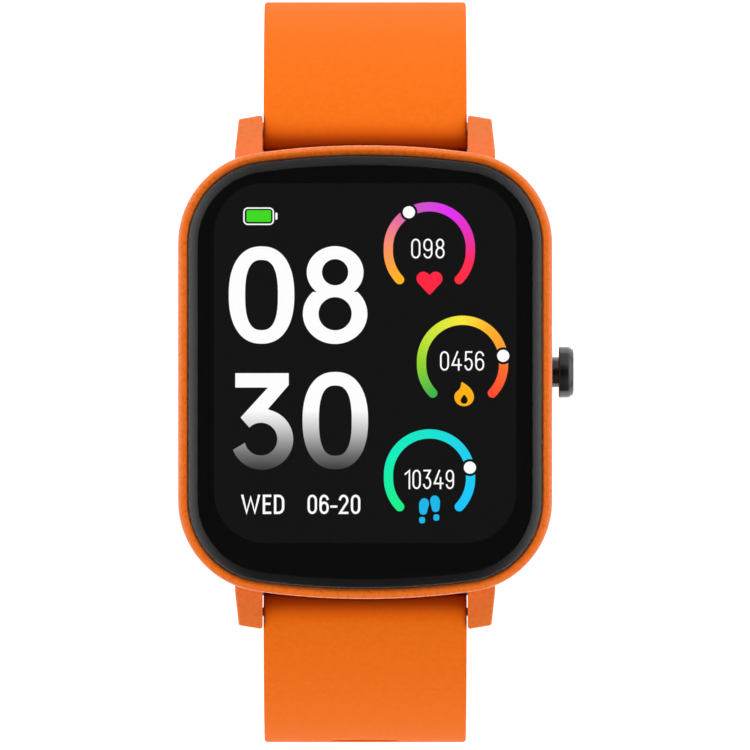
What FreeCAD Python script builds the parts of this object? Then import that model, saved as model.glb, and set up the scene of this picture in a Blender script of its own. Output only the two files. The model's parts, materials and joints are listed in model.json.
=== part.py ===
import FreeCAD, Part
import math
import os

from FreeCAD import Vector

# Square-faced running watch with a crown, two silicone straps and a pin buckle.
# Frame: +X points to 3 o'clock (the crown), +Y to 12 o'clock, +Z out of the display.
# The origin is the middle of the sensor window's outer face, which rests on the wrist.
# Sizes are in millimetres. The straps hang open: the short one follows a circle under
# the case, the long one drops outside it and ends in a flat tail.

# ---- case shell
case_width = 36.8
case_height = 44.6
corner_radius = 9.07
end_arc_radius = 78.0  # the 12 and 6 o'clock sides bow outward
case_bottom = 1.2  # back plane, above the sensor window's face
rim_top = 9.3
rim_round = 0.45
rim_chamfer_width = 0.42
rim_chamfer_drop = 0.28
wall = 2.4
bottom_round = 1.0

# ---- lugs and spring bars
strap_width = 20.0
strap_side_gap = 0.1
lug_width = 2.7
lug_tip_width = 2.35
lug_reach = 3.0  # from the lug's end back to the case end
lug_end_slant = 0.4
lug_bottom = 2.0
lug_root_top = 7.9
lug_tip_top = 5.7
lug_edge_round = 0.25
lug_heel_round = 1.2  # lower corner of the lug's end
lug_root_depth = 0.3  # how far the lug runs into the wall of the case
bar_reach = 1.3  # spring bar axis beyond the case end
bar_height = 3.7
end_wall_inset = 0.3  # flat end wall between the lugs, inside the case end
end_block_side = 0.5  # the filler behind that wall runs this far behind each lug
end_block_depth = 0.3  # and this far into the case wall
bar_tube_radius = 0.75
bar_tube_bore = 0.55
bar_tip_radius = 0.42
bar_shoulder_radius = 0.5
bar_tip_depth = 1.15  # reach of the tip into the lug
bar_tip_end_gap = 0.05
bar_fit = 0.05
bar_tube_inset = 1.0  # tube end inside the strap's side
bar_shoulder_inset = 0.1  # thick stem's end inside the strap's side
bar_stem_length = 4.5
spring_wire = 0.18
spring_turns = 9
spring_side_gap = 0.03
spring_end_gap = 0.01

# ---- straps
strap_thickness = 2.4
strap_radius = 35.6  # middle of the strap, about the wrist axis
hub_radius = 1.8
hub_clearance = 0.2
heel_drop = 0.3  # the heel reaches this far below the back plane
heel_height = 1.4
heel_gap = 0.05
heel_sweep = 6.0  # degrees along the strap over which the heel fades into it
heel_merge = 0.05
upper_strap_length = 78.0  # from spring bar to buckle pin
lower_strap_drop = 24.0  # straight run below the wrist axis
lower_bend_radius = 28.0
lower_strap_length = 115.0
tail_corner_radius = 7.0
slot_width = 6.6
slot_length = 2.4
slot_pitch = 7.0
slot_count = 9
first_slot = 26.6
slot_end_flat = 0.1  # straight part of a slot's end

# ---- keepers
keeper_length = 6.0
keeper_wall = 1.1
keeper_round = 1.0
keeper_hole_round = 0.05
keeper_gap = 0.25
free_keeper_place = 64.5  # along the strap from the spring bar
fixed_keeper_place = 71.0

# ---- buckle
pin_radius = 0.75
pin_fit = 0.05
eye_radius = 1.9
frame_reach = 9.6  # pin axis to front bar axis
frame_arm = 1.7
frame_side_gap = 0.4
frame_bar_radius = 1.05
frame_end_radius = 1.35
frame_edge_round = 0.5
pin_end_cover = 0.5  # metal left outside the pin's end
tongue_width = 5.4
tongue_thickness = 0.95
tongue_eye_radius = 1.5
tongue_root_height = 0.5  # underside of the blade where it leaves the eye
tongue_root_length = 1.2
tongue_flat = 1.6  # flat run that lies on the front bar
tongue_tip_height = 0.55
tongue_tip_round = 1.6
tongue_overhang = 1.1
tongue_side_gap = 0.4
tongue_end_gap = 0.7
tongue_rest_gap = 0.05

# ---- crown
crown_height = 4.65
crown_head_radius = 2.525
crown_head_length = 1.45
crown_standoff = 0.65  # neck seen between the case side and the head
crown_chamfer_length = 0.48
crown_chamfer_depth = 0.3
crown_back_round = 0.15
crown_neck_radius = 1.5
crown_stem_radius = 0.7
crown_tube_wall = 0.35
crown_flange = 0.25
crown_tube_inset = 1.0  # tube end inside the case wall
crown_fit = 0.03
crown_travel = 0.5
crown_hub_depth = 2.9  # neck length inside the tube
crown_groove_width = 0.6
crown_groove_depth = 0.4
crown_groove_start = 0.9  # first seal groove inside the case side
crown_groove_pitch = 1.0
crown_stem_length = 2.0  # stem beyond the tube's inner end
clip_thickness = 0.28
clip_radius = 1.35
clip_groove_depth = 0.2
clip_mouth = 0.8
washer_thickness = 0.23
washer_radius = 1.75
washer_gap = 0.02
magnet_gap = 0.1
magnet_length = 1.0
magnet_radius = 1.3
field_sensor_height = 0.45
field_sensor_length = 1.1
field_sensor_width = 1.6
field_sensor_gap = 0.2
switch_length = 1.7
switch_width = 4.4
switch_height = 3.0
switch_gap = 0.12  # pressed plunger to switch face
plunger_radius = 0.6
plunger_depth = 1.0  # plunger length inside the switch
plunger_fit = 0.05
bracket_thickness = 0.3
bracket_width = 2.8
bracket_gap = 0.05

# ---- display stack
glass_inset = 0.97
glass_thickness = 1.55
glass_top = 10.0
glass_bevel = 0.98
glass_edge_drop = 0.72
print_thickness = 0.05
adhesive_thickness = 0.1
adhesive_margin = 0.13
adhesive_overhang = 0.1  # adhesive inside the case wall
touch_thickness = 0.3
panel_thickness = 0.8
tray_thickness = 0.25
chassis_thickness = 0.8
chassis_gap = 0.15
panel_clearance = 0.4
view_margin_side = 0.75  # printed border over the panel edge
view_margin_top = 0.3
view_margin_bottom = 2.1
view_corner = 4.9

# ---- back
cover_thickness = 1.2
cover_margin = 1.5
cover_gap = 0.1
gasket_margin = 0.22
gasket_width = 0.5
gasket_height = 0.3
dome_radius = 11.0
dome_slope = 1.4
dome_wall = 0.8
window_radius = 8.0
window_thickness = 0.8
dome_floor = 1.2
baffle_height = 0.5
sensor_board_thickness = 0.5
sensor_board_gap = 0.4
emitter_size = 1.6
emitter_height = 0.3
emitter_ring = 2.6
detector_ring = 4.2
pocket_gap = 0.3
contact_radius = 1.1
contact_spacing = 4.0
contact_dome_gap = 2.2  # from the dome's foot to the contacts' axes
contact_flange_height = 0.15
contact_flange_width = 0.35
magnet_disc_radius = 1.6
magnet_disc_height = 1.4
magnet_disc_spacing = 12.5
magnet_disc_end_gap = 2.5

# ---- inside
boss_radius = 1.8
boss_merge = 0.5  # how far a boss runs into the corner of the wall
boss_wall_depth = 0.2  # wall thickness that a boss is joined to
screw_radius = 0.6
screw_head_radius = 1.1
screw_head_height = 0.5
cover_screw_length = 2.6
chassis_screw_length = 1.8
board_height = 4.4
board_thickness = 0.6
board_start = 3.4
board_side_gap = 1.6
board_end_gap = 1.3
boss_clearance = 0.25
standoff_radius = 1.2
standoff_side_inset = 6.2  # from the board's side
standoff_end_inset = 1.6  # from the board's end
board_screw_grip = 0.8  # thread in the standoff
board_screw_spare = 0.1
can_screw_gap = 0.4
can_start_inset = 2.0
can_end_inset = 0.6
can_height = 1.5
can_wall = 0.15
chip_height = 0.9
radio_chip = 3.6
processor_chip = 3.2
memory_chip = 2.4
power_chip = 2.8
outer_chip_inset = 2.6
processor_offset = 2.2
memory_offset = 2.6
battery_start = 2.2  # gap kept to the board
battery_thickness = 3.1
battery_corner = 1.2
battery_side_gap = 1.0
battery_end_gap = 5.9
pad_thickness = 0.35
pad_margin = 2.0
flex_thickness = 0.1
display_flex_width = 8.0
display_flex_height = 0.3  # above the panel's back
display_flex_wall_gap = 0.25
flex_slot_width = 10.0
flex_slot_depth = 1.0
flex_slot_corner = 0.4
socket_width = 9.0
socket_length = 2.0
socket_inset = 1.0
sensor_flex_width = 5.0
sensor_flex_start = 4.0
sensor_flex_gap = 0.6
sensor_flex_landing = 1.4
crown_flex_rise = 1.0
crown_flex_fall = 1.4
crown_flex_landing = 2.1
crown_flex_reach = 2.0
crown_flex_gap = 0.1
crown_bay_half = 2.8
crown_bay = 7.4  # width kept for the crown switch and the motor
antenna_length = 15.0
antenna_thickness = 0.5
antenna_gap = 0.6
motor_radius = 3.4
motor_height = 2.1

# ---- places worked out from the sizes above
case_end = case_height / 2
case_side = case_width / 2
bar_y = case_end + bar_reach
lug_gap = strap_width + 2 * strap_side_gap
lug_inner = lug_gap / 2
strap_half = strap_width / 2
strap_outer = strap_radius + strap_thickness / 2
strap_inner = strap_radius - strap_thickness / 2
bar_ring = strap_outer - hub_radius
wrist_z = bar_height - math.sqrt(bar_ring**2 - bar_y**2)
root_angle = math.degrees(math.asin(bar_y / bar_ring))
end_wall = case_end - end_wall_inset
corner_x = case_side - corner_radius
end_centre = case_end - end_arc_radius
corner_y = end_centre + math.sqrt((end_arc_radius - corner_radius) ** 2 - corner_x**2)
case_tip = case_end + lug_reach
cover_top = case_bottom + cover_thickness
cavity_x = case_side - wall
cavity_y = case_end - wall
glass_bottom = glass_top - glass_thickness
print_bottom = glass_bottom - print_thickness
glass_seat = print_bottom - adhesive_thickness
touch_bottom = print_bottom - touch_thickness
panel_bottom = touch_bottom - panel_thickness
tray_bottom = panel_bottom - tray_thickness
chassis_bottom = tray_bottom - chassis_thickness
panel_x = cavity_x - panel_clearance
panel_y = corner_y + corner_radius - wall - panel_clearance
panel_corner = corner_radius - wall - panel_clearance
board_top = board_height + board_thickness
battery_top = chassis_bottom - pad_thickness
battery_bottom = battery_top - battery_thickness
tube_inner_end = case_side - wall - crown_tube_inset
head_start = case_side + crown_standoff
hub_end = head_start - crown_standoff - crown_hub_depth
stem_end = tube_inner_end - crown_stem_length
switch_face = stem_end - crown_travel - switch_gap
bracket_x = switch_face - switch_length
bracket_back = bracket_x - flex_thickness - bracket_thickness
bracket_foot = cover_top + bracket_gap
washer_start = tube_inner_end - washer_gap - washer_thickness
clip_start = washer_start - washer_gap - clip_thickness
magnet_end = clip_start - magnet_gap
boss_offset = (corner_radius - wall - boss_radius + boss_merge) / math.sqrt(2)
boss_x = corner_x + boss_offset
boss_y = corner_y + boss_offset
contact_y = -(dome_radius + dome_slope + contact_dome_gap)
magnet_disc_y = -(cavity_y - magnet_disc_end_gap - magnet_disc_radius)
sensor_board_radius = dome_radius - dome_wall - sensor_board_gap
sensor_face = dome_floor + baffle_height
standoff_x = cavity_x - board_side_gap - standoff_side_inset
standoff_y = cavity_y - board_end_gap - standoff_end_inset
socket_start = board_start + socket_inset
socket_end = socket_start + socket_length
pin_reach = strap_half + frame_side_gap + frame_arm - pin_end_cover


def save(name, shape):
    shape.exportStep("parts/" + name + ".step")


def fuse(shapes):
    return shapes[0].multiFuse(shapes[1:]).removeSplitter()


def box(x0, x1, y0, y1, z0, z1):
    return Part.makeBox(x1 - x0, y1 - y0, z1 - z0, Vector(x0, y0, z0))


def rod_x(x0, x1, y, z, radius):
    return Part.makeCylinder(radius, x1 - x0, Vector(x0, y, z), Vector(1, 0, 0))


def rod_z(x, y, z0, z1, radius):
    return Part.makeCylinder(radius, z1 - z0, Vector(x, y, z0), Vector(0, 0, 1))


def line(start, end):
    return Part.LineSegment(start, end).toShape()


def arc(start, middle, end):
    return Part.Arc(start, middle, end).toShape()


def case_outline(inset, z):
    """The case's outline seen from the front, moved inward by inset."""
    x = case_side - inset
    radius = corner_radius - inset
    end_radius = end_arc_radius - inset
    reach = math.hypot(corner_x, corner_y - end_centre)
    touch_x = corner_x / reach * end_radius
    touch_y = end_centre + (corner_y - end_centre) / reach * end_radius
    half = (math.atan2(touch_y - corner_y, touch_x - corner_x)) / 2
    middle_x = corner_x + radius * math.cos(half)
    middle_y = corner_y + radius * math.sin(half)
    end_y = case_end - inset
    edges = []
    for side in (1, -1):
        edges.append(line(Vector(side * x, -side * corner_y, z), Vector(side * x, side * corner_y, z)))
        edges.append(
            arc(
                Vector(side * x, side * corner_y, z),
                Vector(side * middle_x, side * middle_y, z),
                Vector(side * touch_x, side * touch_y, z),
            )
        )
        edges.append(
            arc(
                Vector(side * touch_x, side * touch_y, z),
                Vector(0, side * end_y, z),
                Vector(-side * touch_x, side * touch_y, z),
            )
        )
        edges.append(
            arc(
                Vector(-side * touch_x, side * touch_y, z),
                Vector(-side * middle_x, side * middle_y, z),
                Vector(-side * x, side * corner_y, z),
            )
        )
    return Part.Wire(edges)


def case_prism(inset, z0, z1):
    return Part.Face(case_outline(inset, z0)).extrude(Vector(0, 0, z1 - z0))


def case_taper(inset0, z0, inset1, z1):
    return Part.makeLoft([case_outline(inset0, z0), case_outline(inset1, z1)], True, True)


def rounded_outline(x0, x1, y0, y1, z, radius):
    bend = radius * (1 - math.sqrt(0.5))
    corners = [(x1, y0, 1, -1), (x1, y1, 1, 1), (x0, y1, -1, 1), (x0, y0, -1, -1)]
    starts, middles, ends = [], [], []
    for x, y, sx, sy in corners:
        first = Vector(x - sx * radius, y, z)
        second = Vector(x, y - sy * radius, z)
        starts.append(first if sx * sy < 0 else second)
        ends.append(second if sx * sy < 0 else first)
        middles.append(Vector(x - sx * bend, y - sy * bend, z))
    edges = []
    for i in range(4):
        edges.append(arc(starts[i], middles[i], ends[i]))
        edges.append(line(ends[i], starts[(i + 1) % 4]))
    return Part.Wire(edges)


def rounded_plate(x0, x1, y0, y1, z0, z1, radius):
    """A plate with round corners in plan."""
    outline = rounded_outline(x0, x1, y0, y1, z0, radius)
    return Part.Face(outline).extrude(Vector(0, 0, z1 - z0))


def side_polygon(points, x0, x1):
    """A straight-sided profile given as (y, z) points, run along X."""
    corners = [Vector(x0, y, z) for y, z in points]
    face = Part.Face(Part.makePolygon(corners + corners[:1]))
    return face.extrude(Vector(x1 - x0, 0, 0))


def screw(x, y, head_z, length, up):
    """A pan-head screw. up is 1 when the shank points to +Z and -1 when it points down."""
    head = sorted((head_z, head_z + up * screw_head_height))
    shank = sorted((head_z + up * screw_head_height, head_z + up * length))
    body = rod_z(x, y, head[0], head[1], screw_head_radius)
    recess = sorted((head_z, head_z + up * screw_head_height / 2))
    drive = rod_z(x, y, recess[0], recess[1], screw_head_radius / 2)
    return fuse([body, rod_z(x, y, shank[0], shank[1], screw_radius)]).cut(drive)


def level_edges(shape, z):
    return [e for e in shape.Edges if e.BoundBox.ZMin > z - 0.01 and e.BoundBox.ZMax < z + 0.01]


def case_body():
    body = case_prism(0, case_bottom, rim_top)
    body = body.makeFillet(bottom_round, level_edges(body, case_bottom))
    body = body.makeFillet(rim_round, level_edges(body, rim_top))
    parts = [body]
    for side in (1, -1):
        parts.append(end_block(side))
        for hand in (1, -1):
            parts.append(lug(hand, side))
    body = fuse(parts)
    rim_inset = rim_round + rim_chamfer_width
    body = body.cut(case_taper(rim_round, rim_top, rim_inset, rim_top - rim_chamfer_drop))
    body = body.cut(case_prism(rim_inset, glass_seat, rim_top - rim_chamfer_drop))
    body = body.cut(case_prism(cover_margin - cover_gap, case_bottom, cover_top))
    cavity = case_prism(wall, cover_top, glass_seat)
    body = body.cut(cavity)
    bosses = [boss(hand * boss_x, side * boss_y) for hand in (1, -1) for side in (1, -1)]
    inside = case_prism(wall - boss_wall_depth, cover_top, chassis_bottom)
    body = fuse([body] + [b.common(inside) for b in bosses])
    cuts = []
    for hand in (1, -1):
        for side in (1, -1):
            cuts += boss_holes(hand * boss_x, side * boss_y)
    for side in (1, -1):
        y = side * bar_y
        cuts.append(rod_x(-lug_inner, lug_inner, y, bar_height, hub_radius + hub_clearance))
        ends = sorted((side * end_wall, side * case_tip))
        cuts.append(box(-lug_inner, lug_inner, ends[0], ends[1], case_bottom, bar_height))
        for hand in (1, -1):
            ends = sorted((hand * lug_inner, hand * (lug_inner + bar_tip_depth + bar_fit)))
            cuts.append(rod_x(ends[0], ends[1], y, bar_height, bar_tip_radius + bar_fit))
    cuts.append(back_gasket())
    tube_radius = crown_neck_radius + crown_fit + crown_tube_wall
    cuts.append(rod_x(cavity_x - 1, case_side + 1, 0, crown_height, tube_radius))
    return body.cut(Part.makeCompound(cuts))


def end_block(side):
    """Filler that gives the case a flat end wall for the strap's heel."""
    ends = sorted((side * (case_end - wall + end_block_depth), side * end_wall))
    x = lug_inner + end_block_side
    return box(-x, x, ends[0], ends[1], case_bottom, bar_height)


def plan_prism(points, z0, z1):
    """A straight-sided outline given as (x, y) points, run upward."""
    corners = [Vector(x, y, z0) for x, y in points]
    return Part.Face(Part.makePolygon(corners + corners[:1])).extrude(Vector(0, 0, z1 - z0))


def lug(hand, side):
    """A wedge that slopes down from the case to its tip, with a slanted end and rounded edges."""
    start = corner_y + corner_radius - wall + lug_root_depth
    root = lug_inner + lug_width
    tip = lug_inner + lug_tip_width
    profile = [(start, lug_bottom), (case_tip, lug_bottom), (case_tip, lug_tip_top), (start, lug_root_top)]
    wedge = side_polygon(profile, lug_inner, root)
    plan = [
        (lug_inner, start),
        (root, start),
        (root, corner_y + corner_radius),
        (tip, case_tip - lug_end_slant),
        (lug_inner, case_tip),
    ]
    wedge = wedge.common(plan_prism(plan, lug_bottom, lug_root_top))
    outer = case_tip - lug_end_slant - 0.01
    heel = [e for e in level_edges(wedge, lug_bottom) if e.BoundBox.YMin > outer]
    wedge = wedge.makeFillet(lug_heel_round, heel)
    rounded = [e for e in wedge.Edges if e.BoundBox.ZMax > lug_bottom + lug_heel_round + 0.01]
    rounded = [e for e in rounded if e.BoundBox.YMax > outer and e.BoundBox.YMin > start + 0.01]
    wedge = wedge.makeFillet(lug_edge_round, rounded)
    if hand < 0:
        wedge = wedge.mirror(Vector(0, 0, 0), Vector(1, 0, 0))
    if side < 0:
        wedge = wedge.mirror(Vector(0, 0, 0), Vector(0, 1, 0))
    return wedge


def boss(x, y):
    return rod_z(x, y, cover_top, chassis_bottom, boss_radius)


def boss_holes(x, y):
    cover_hole_top = case_bottom + cover_screw_length
    chassis_hole_bottom = chassis_bottom + chassis_thickness - chassis_screw_length
    return [
        rod_z(x, y, cover_top, cover_hole_top, screw_radius),
        rod_z(x, y, chassis_hole_bottom, chassis_bottom, screw_radius),
    ]


def back_cover():
    plate = case_prism(cover_margin, case_bottom, cover_top)
    dome = Part.makeCone(dome_radius, dome_radius + dome_slope, case_bottom, Vector(0, 0, 0))
    cover = fuse([plate, dome])
    cuts = [
        rod_z(0, 0, dome_floor, cover_top, dome_radius - dome_wall),
        rod_z(0, 0, 0, dome_floor, window_radius),
    ]
    for hand in (1, -1):
        for side in (1, -1):
            x, y = hand * boss_x, side * boss_y
            cuts.append(rod_z(x, y, case_bottom, case_bottom + screw_head_height, screw_head_radius))
            cuts.append(rod_z(x, y, case_bottom, cover_top, screw_radius))
        cuts.append(rod_z(hand * contact_spacing / 2, contact_y, case_bottom, cover_top, contact_radius))
    return cover.cut(Part.makeCompound(cuts))


def back_gasket():
    top = cover_top + gasket_height
    outer = case_prism(cover_margin + gasket_margin, cover_top, top)
    return outer.cut(case_prism(cover_margin + gasket_margin + gasket_width, cover_top, top))


def sensor_window():
    return rod_z(0, 0, 0, window_thickness, window_radius)


def emitter_places():
    return [(emitter_ring, 0), (-emitter_ring, 0)]


def detector_places():
    return [(0, detector_ring), (0, -detector_ring)]


def sensor_baffle():
    """Black frame between window and board that keeps stray light off the detectors."""
    lower = rod_z(0, 0, window_thickness, dome_floor, window_radius)
    upper = rod_z(0, 0, dome_floor, sensor_face, sensor_board_radius)
    pocket = emitter_size / 2 + pocket_gap
    cuts = [
        box(x - pocket, x + pocket, y - pocket, y + pocket, window_thickness, sensor_face)
        for x, y in emitter_places() + detector_places()
    ]
    return fuse([lower, upper]).cut(Part.makeCompound(cuts))


def sensor_board():
    return rod_z(0, 0, sensor_face, sensor_face + sensor_board_thickness, sensor_board_radius)


def chip_row(places, size, top, height):
    half = size / 2
    chips = [box(x - half, x + half, y - half, y + half, top - height, top) for x, y in places]
    return Part.makeCompound(chips)


def charging_contacts():
    pins = []
    for hand in (1, -1):
        x = hand * contact_spacing / 2
        pad = rod_z(x, contact_y, case_bottom, cover_top, contact_radius)
        flange_top = cover_top + contact_flange_height
        flange = rod_z(x, contact_y, cover_top, flange_top, contact_radius + contact_flange_width)
        pins.append(fuse([pad, flange]))
    return Part.makeCompound(pins)


def charging_magnets():
    discs = []
    for hand in (1, -1):
        x = hand * magnet_disc_spacing / 2
        top = cover_top + magnet_disc_height
        discs.append(rod_z(x, magnet_disc_y, cover_top, top, magnet_disc_radius))
    return Part.makeCompound(discs)


def cover_screws():
    return Part.makeCompound(
        [
            screw(hand * boss_x, side * boss_y, case_bottom, cover_screw_length, 1)
            for hand in (1, -1)
            for side in (1, -1)
        ]
    )


def chassis():
    """Moulded plate that carries the display above and the electronics below."""
    top = chassis_bottom + chassis_thickness
    plate = case_prism(wall + chassis_gap, chassis_bottom, top)
    half = flex_slot_width / 2
    slot_ends = (-cavity_y - flex_slot_depth, -cavity_y + flex_slot_depth)
    edge = rounded_plate(-half, half, *slot_ends, chassis_bottom, top, flex_slot_corner)
    standoffs = [
        rod_z(hand * standoff_x, standoff_y, board_top, chassis_bottom, standoff_radius)
        for hand in (1, -1)
    ]
    bay = box(bracket_x, cavity_x, -crown_bay_half, crown_bay_half, chassis_bottom, top)
    cuts = [edge, bay]
    for hand in (1, -1):
        for side in (1, -1):
            x, y = hand * boss_x, side * boss_y
            cuts.append(rod_z(x, y, top - screw_head_height, top, screw_head_radius))
            cuts.append(rod_z(x, y, chassis_bottom, top, screw_radius))
        hole_top = board_top + board_screw_grip + board_screw_spare
        cuts.append(rod_z(hand * standoff_x, standoff_y, board_top, hole_top, screw_radius))
    return fuse([plate] + standoffs).cut(Part.makeCompound(cuts))


def chassis_screws():
    head_z = chassis_bottom + chassis_thickness
    return Part.makeCompound(
        [
            screw(hand * boss_x, side * boss_y, head_z, chassis_screw_length, -1)
            for hand in (1, -1)
            for side in (1, -1)
        ]
    )


def display_tray():
    top = panel_bottom
    return rounded_plate(-panel_x, panel_x, -panel_y, panel_y, tray_bottom, top, panel_corner)


def display_panel():
    top = touch_bottom
    return rounded_plate(-panel_x, panel_x, -panel_y, panel_y, panel_bottom, top, panel_corner)


def view_window(z0, z1):
    return rounded_plate(
        -panel_x + view_margin_side,
        panel_x - view_margin_side,
        -panel_y + view_margin_bottom,
        panel_y - view_margin_top,
        z0,
        z1,
        view_corner,
    )


def touch_sensor():
    sheet = rounded_plate(
        -panel_x, panel_x, -panel_y, panel_y, touch_bottom, print_bottom, panel_corner
    )
    return fuse([sheet, view_window(print_bottom, glass_bottom)])


def glass_print():
    return case_prism(glass_inset + adhesive_margin, print_bottom, glass_bottom).cut(
        view_window(print_bottom, glass_bottom)
    )


def glass_adhesive():
    outer = case_prism(glass_inset + adhesive_margin, glass_seat, print_bottom)
    return outer.cut(case_prism(wall - adhesive_overhang, glass_seat, print_bottom))


def cover_glass():
    """Flat glass whose edge falls away in a rounded bevel."""
    steps = 4
    previous = (glass_inset, glass_top - glass_edge_drop)
    layers = [case_prism(glass_inset, glass_bottom, previous[1])]
    for i in range(1, steps + 1):
        turn = math.radians(90 * i / steps)
        inset = glass_inset + glass_bevel * (1 - math.cos(turn))
        height = glass_top - glass_edge_drop * (1 - math.sin(turn))
        layers.append(case_taper(previous[0], previous[1], inset, height))
        previous = (inset, height)
    return layers[0].multiFuse(layers[1:])


def battery():
    left = -cavity_x + battery_side_gap
    right = cavity_x - crown_bay
    low = -cavity_y + battery_end_gap
    return rounded_plate(left, right, low, battery_start, battery_bottom, battery_top, battery_corner)


def battery_pad():
    left = -cavity_x + battery_side_gap + pad_margin
    right = -display_flex_width / 2 - pad_margin
    low = -cavity_y + battery_end_gap + pad_margin
    return box(left, right, low, battery_start - pad_margin, battery_top, chassis_bottom)


def main_board():
    x = cavity_x - board_side_gap
    y = cavity_y - board_end_gap
    board = box(-x, x, board_start, y, board_height, board_top)
    cuts = [
        rod_z(hand * boss_x, boss_y, board_height, board_top, boss_radius + boss_clearance)
        for hand in (1, -1)
    ]
    corners = case_prism(wall + boss_clearance, board_height, board_top)
    cuts += [
        rod_z(hand * standoff_x, standoff_y, board_height, board_top, screw_radius)
        for hand in (1, -1)
    ]
    return board.common(corners).cut(Part.makeCompound(cuts))


def board_screws():
    head_z = board_height - screw_head_height
    length = screw_head_height + board_thickness + board_screw_grip
    return Part.makeCompound([screw(hand * standoff_x, standoff_y, head_z, length, 1) for hand in (1, -1)])


def can_box():
    x = standoff_x - screw_head_radius - can_screw_gap
    return (-x, x, board_start + can_start_inset, cavity_y - board_end_gap - can_end_inset)


def shield_can():
    x0, x1, y0, y1 = can_box()
    bottom = board_height - can_height
    outer = box(x0, x1, y0, y1, bottom, board_height)
    hollow = box(
        x0 + can_wall, x1 - can_wall, y0 + can_wall, y1 - can_wall, bottom + can_wall, board_height
    )
    return outer.cut(hollow)


def chips():
    x0, x1, y0, y1 = can_box()
    middle = (y0 + y1) / 2
    placed = [
        (x0 + outer_chip_inset, middle, radio_chip),
        (0, middle + processor_offset, processor_chip),
        (0, middle - memory_offset, memory_chip),
        (x1 - outer_chip_inset, middle, power_chip),
    ]
    made = [chip_row([(x, y)], size, board_height, chip_height) for x, y, size in placed]
    return Part.makeCompound([solid for row in made for solid in row.Solids])


def gps_antenna():
    """Thin antenna on its plastic carrier, along the 12 o'clock wall."""
    y = cavity_y - antenna_gap
    half = antenna_length / 2
    return box(-half, half, y - antenna_thickness, y, board_top, chassis_bottom)


def vibration_motor():
    x = cavity_x - crown_bay / 2
    y = -cavity_y + battery_end_gap + motor_radius
    return rod_z(x, y, chassis_bottom - motor_height, chassis_bottom, motor_radius)


def display_socket():
    half = socket_width / 2
    return box(-half, half, socket_start, socket_end, board_top, chassis_bottom - flex_thickness)


def display_flex():
    """Ribbon from the panel's lower edge, round the chassis, to the socket."""
    x = display_flex_width / 2
    turn = -cavity_y + display_flex_wall_gap
    low = chassis_bottom - flex_thickness
    high = panel_bottom + display_flex_height
    runs = [
        box(-x, x, turn, -panel_y, high, high + flex_thickness),
        box(-x, x, turn, turn + flex_thickness, low, high + flex_thickness),
        box(-x, x, turn, socket_end, low, chassis_bottom),
    ]
    return fuse(runs)


def sensor_flex():
    """Ribbon from the sensor board up to the main board."""
    x = sensor_flex_width / 2
    low = sensor_face + sensor_board_thickness
    riser = board_start - sensor_flex_gap
    landing = board_start + sensor_flex_landing
    runs = [
        box(-x, x, -sensor_flex_start, riser + flex_thickness, low, low + flex_thickness),
        box(-x, x, riser, riser + flex_thickness, low, board_height),
        box(-x, x, riser, landing, board_height - flex_thickness, board_height),
    ]
    return fuse(runs)


def crown_tube():
    outer = crown_neck_radius + crown_fit + crown_tube_wall
    tube = rod_x(cavity_x, case_side, 0, crown_height, outer)
    flange = rod_x(tube_inner_end, cavity_x, 0, crown_height, outer + crown_flange)
    bore = rod_x(tube_inner_end - 1, case_side + 1, 0, crown_height, crown_neck_radius + crown_fit)
    return fuse([tube, flange]).cut(bore)


def groove_places():
    first = case_side - crown_groove_start
    return [first, first - crown_groove_pitch]


def ring_x(x0, x1, inner, outer):
    """A flat ring round the crown's axis."""
    ring = rod_x(x0, x1, 0, crown_height, outer)
    return ring.cut(rod_x(x0, x1, 0, crown_height, inner))


def crown_cap():
    head_end = head_start + crown_head_length
    profile = [
        (head_start, 0),
        (head_start, crown_head_radius),
        (head_end - crown_chamfer_length, crown_head_radius),
        (head_end, crown_head_radius - crown_chamfer_depth),
        (head_end, 0),
    ]
    corners = [Vector(x, 0, crown_height + radius) for x, radius in profile]
    section = Part.Face(Part.makePolygon(corners + corners[:1]))
    head = section.revolve(Vector(0, 0, crown_height), Vector(1, 0, 0), 360)
    back_edges = [e for e in head.Edges if e.BoundBox.XMax < head_start + 0.01]
    back_edges = [e for e in back_edges if e.Length > math.pi * crown_head_radius]
    head = head.makeFillet(crown_back_round, back_edges)
    neck = rod_x(hub_end, head_start, 0, crown_height, crown_neck_radius)
    stem = rod_x(stem_end, hub_end, 0, crown_height, crown_stem_radius)
    cap = fuse([head, neck, stem])
    floor = crown_neck_radius - crown_groove_depth
    half = crown_groove_width / 2
    cuts = [ring_x(x - half, x + half, floor, crown_neck_radius + 1) for x in groove_places()]
    clip_floor = crown_stem_radius - clip_groove_depth
    cuts.append(ring_x(clip_start, clip_start + clip_thickness, clip_floor, crown_stem_radius + 1))
    return cap.cut(Part.makeCompound(cuts))


def crown_seals():
    ring_radius = crown_groove_depth / 2
    middle = crown_neck_radius - ring_radius
    return Part.makeCompound(
        [
            Part.makeTorus(middle, ring_radius, Vector(x, 0, crown_height), Vector(1, 0, 0))
            for x in groove_places()
        ]
    )


def crown_washer():
    end = washer_start + washer_thickness
    return ring_x(washer_start, end, crown_stem_radius + crown_fit, washer_radius)


def crown_clip():
    end = clip_start + clip_thickness
    ring = ring_x(clip_start, end, crown_stem_radius - clip_groove_depth, clip_radius)
    half = clip_mouth / 2
    return ring.cut(box(clip_start, end, -half, half, crown_height, crown_height + 2 * clip_radius))


def crown_magnet():
    return ring_x(magnet_end - magnet_length, magnet_end, crown_stem_radius, magnet_radius)


def crown_switch():
    half = switch_width / 2
    low = crown_height - switch_height / 2
    body = box(bracket_x, switch_face, -half, half, low, low + switch_height)
    bore_start = switch_face - plunger_depth - crown_travel - plunger_fit
    return body.cut(rod_x(bore_start, switch_face, 0, crown_height, plunger_radius + plunger_fit))


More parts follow.
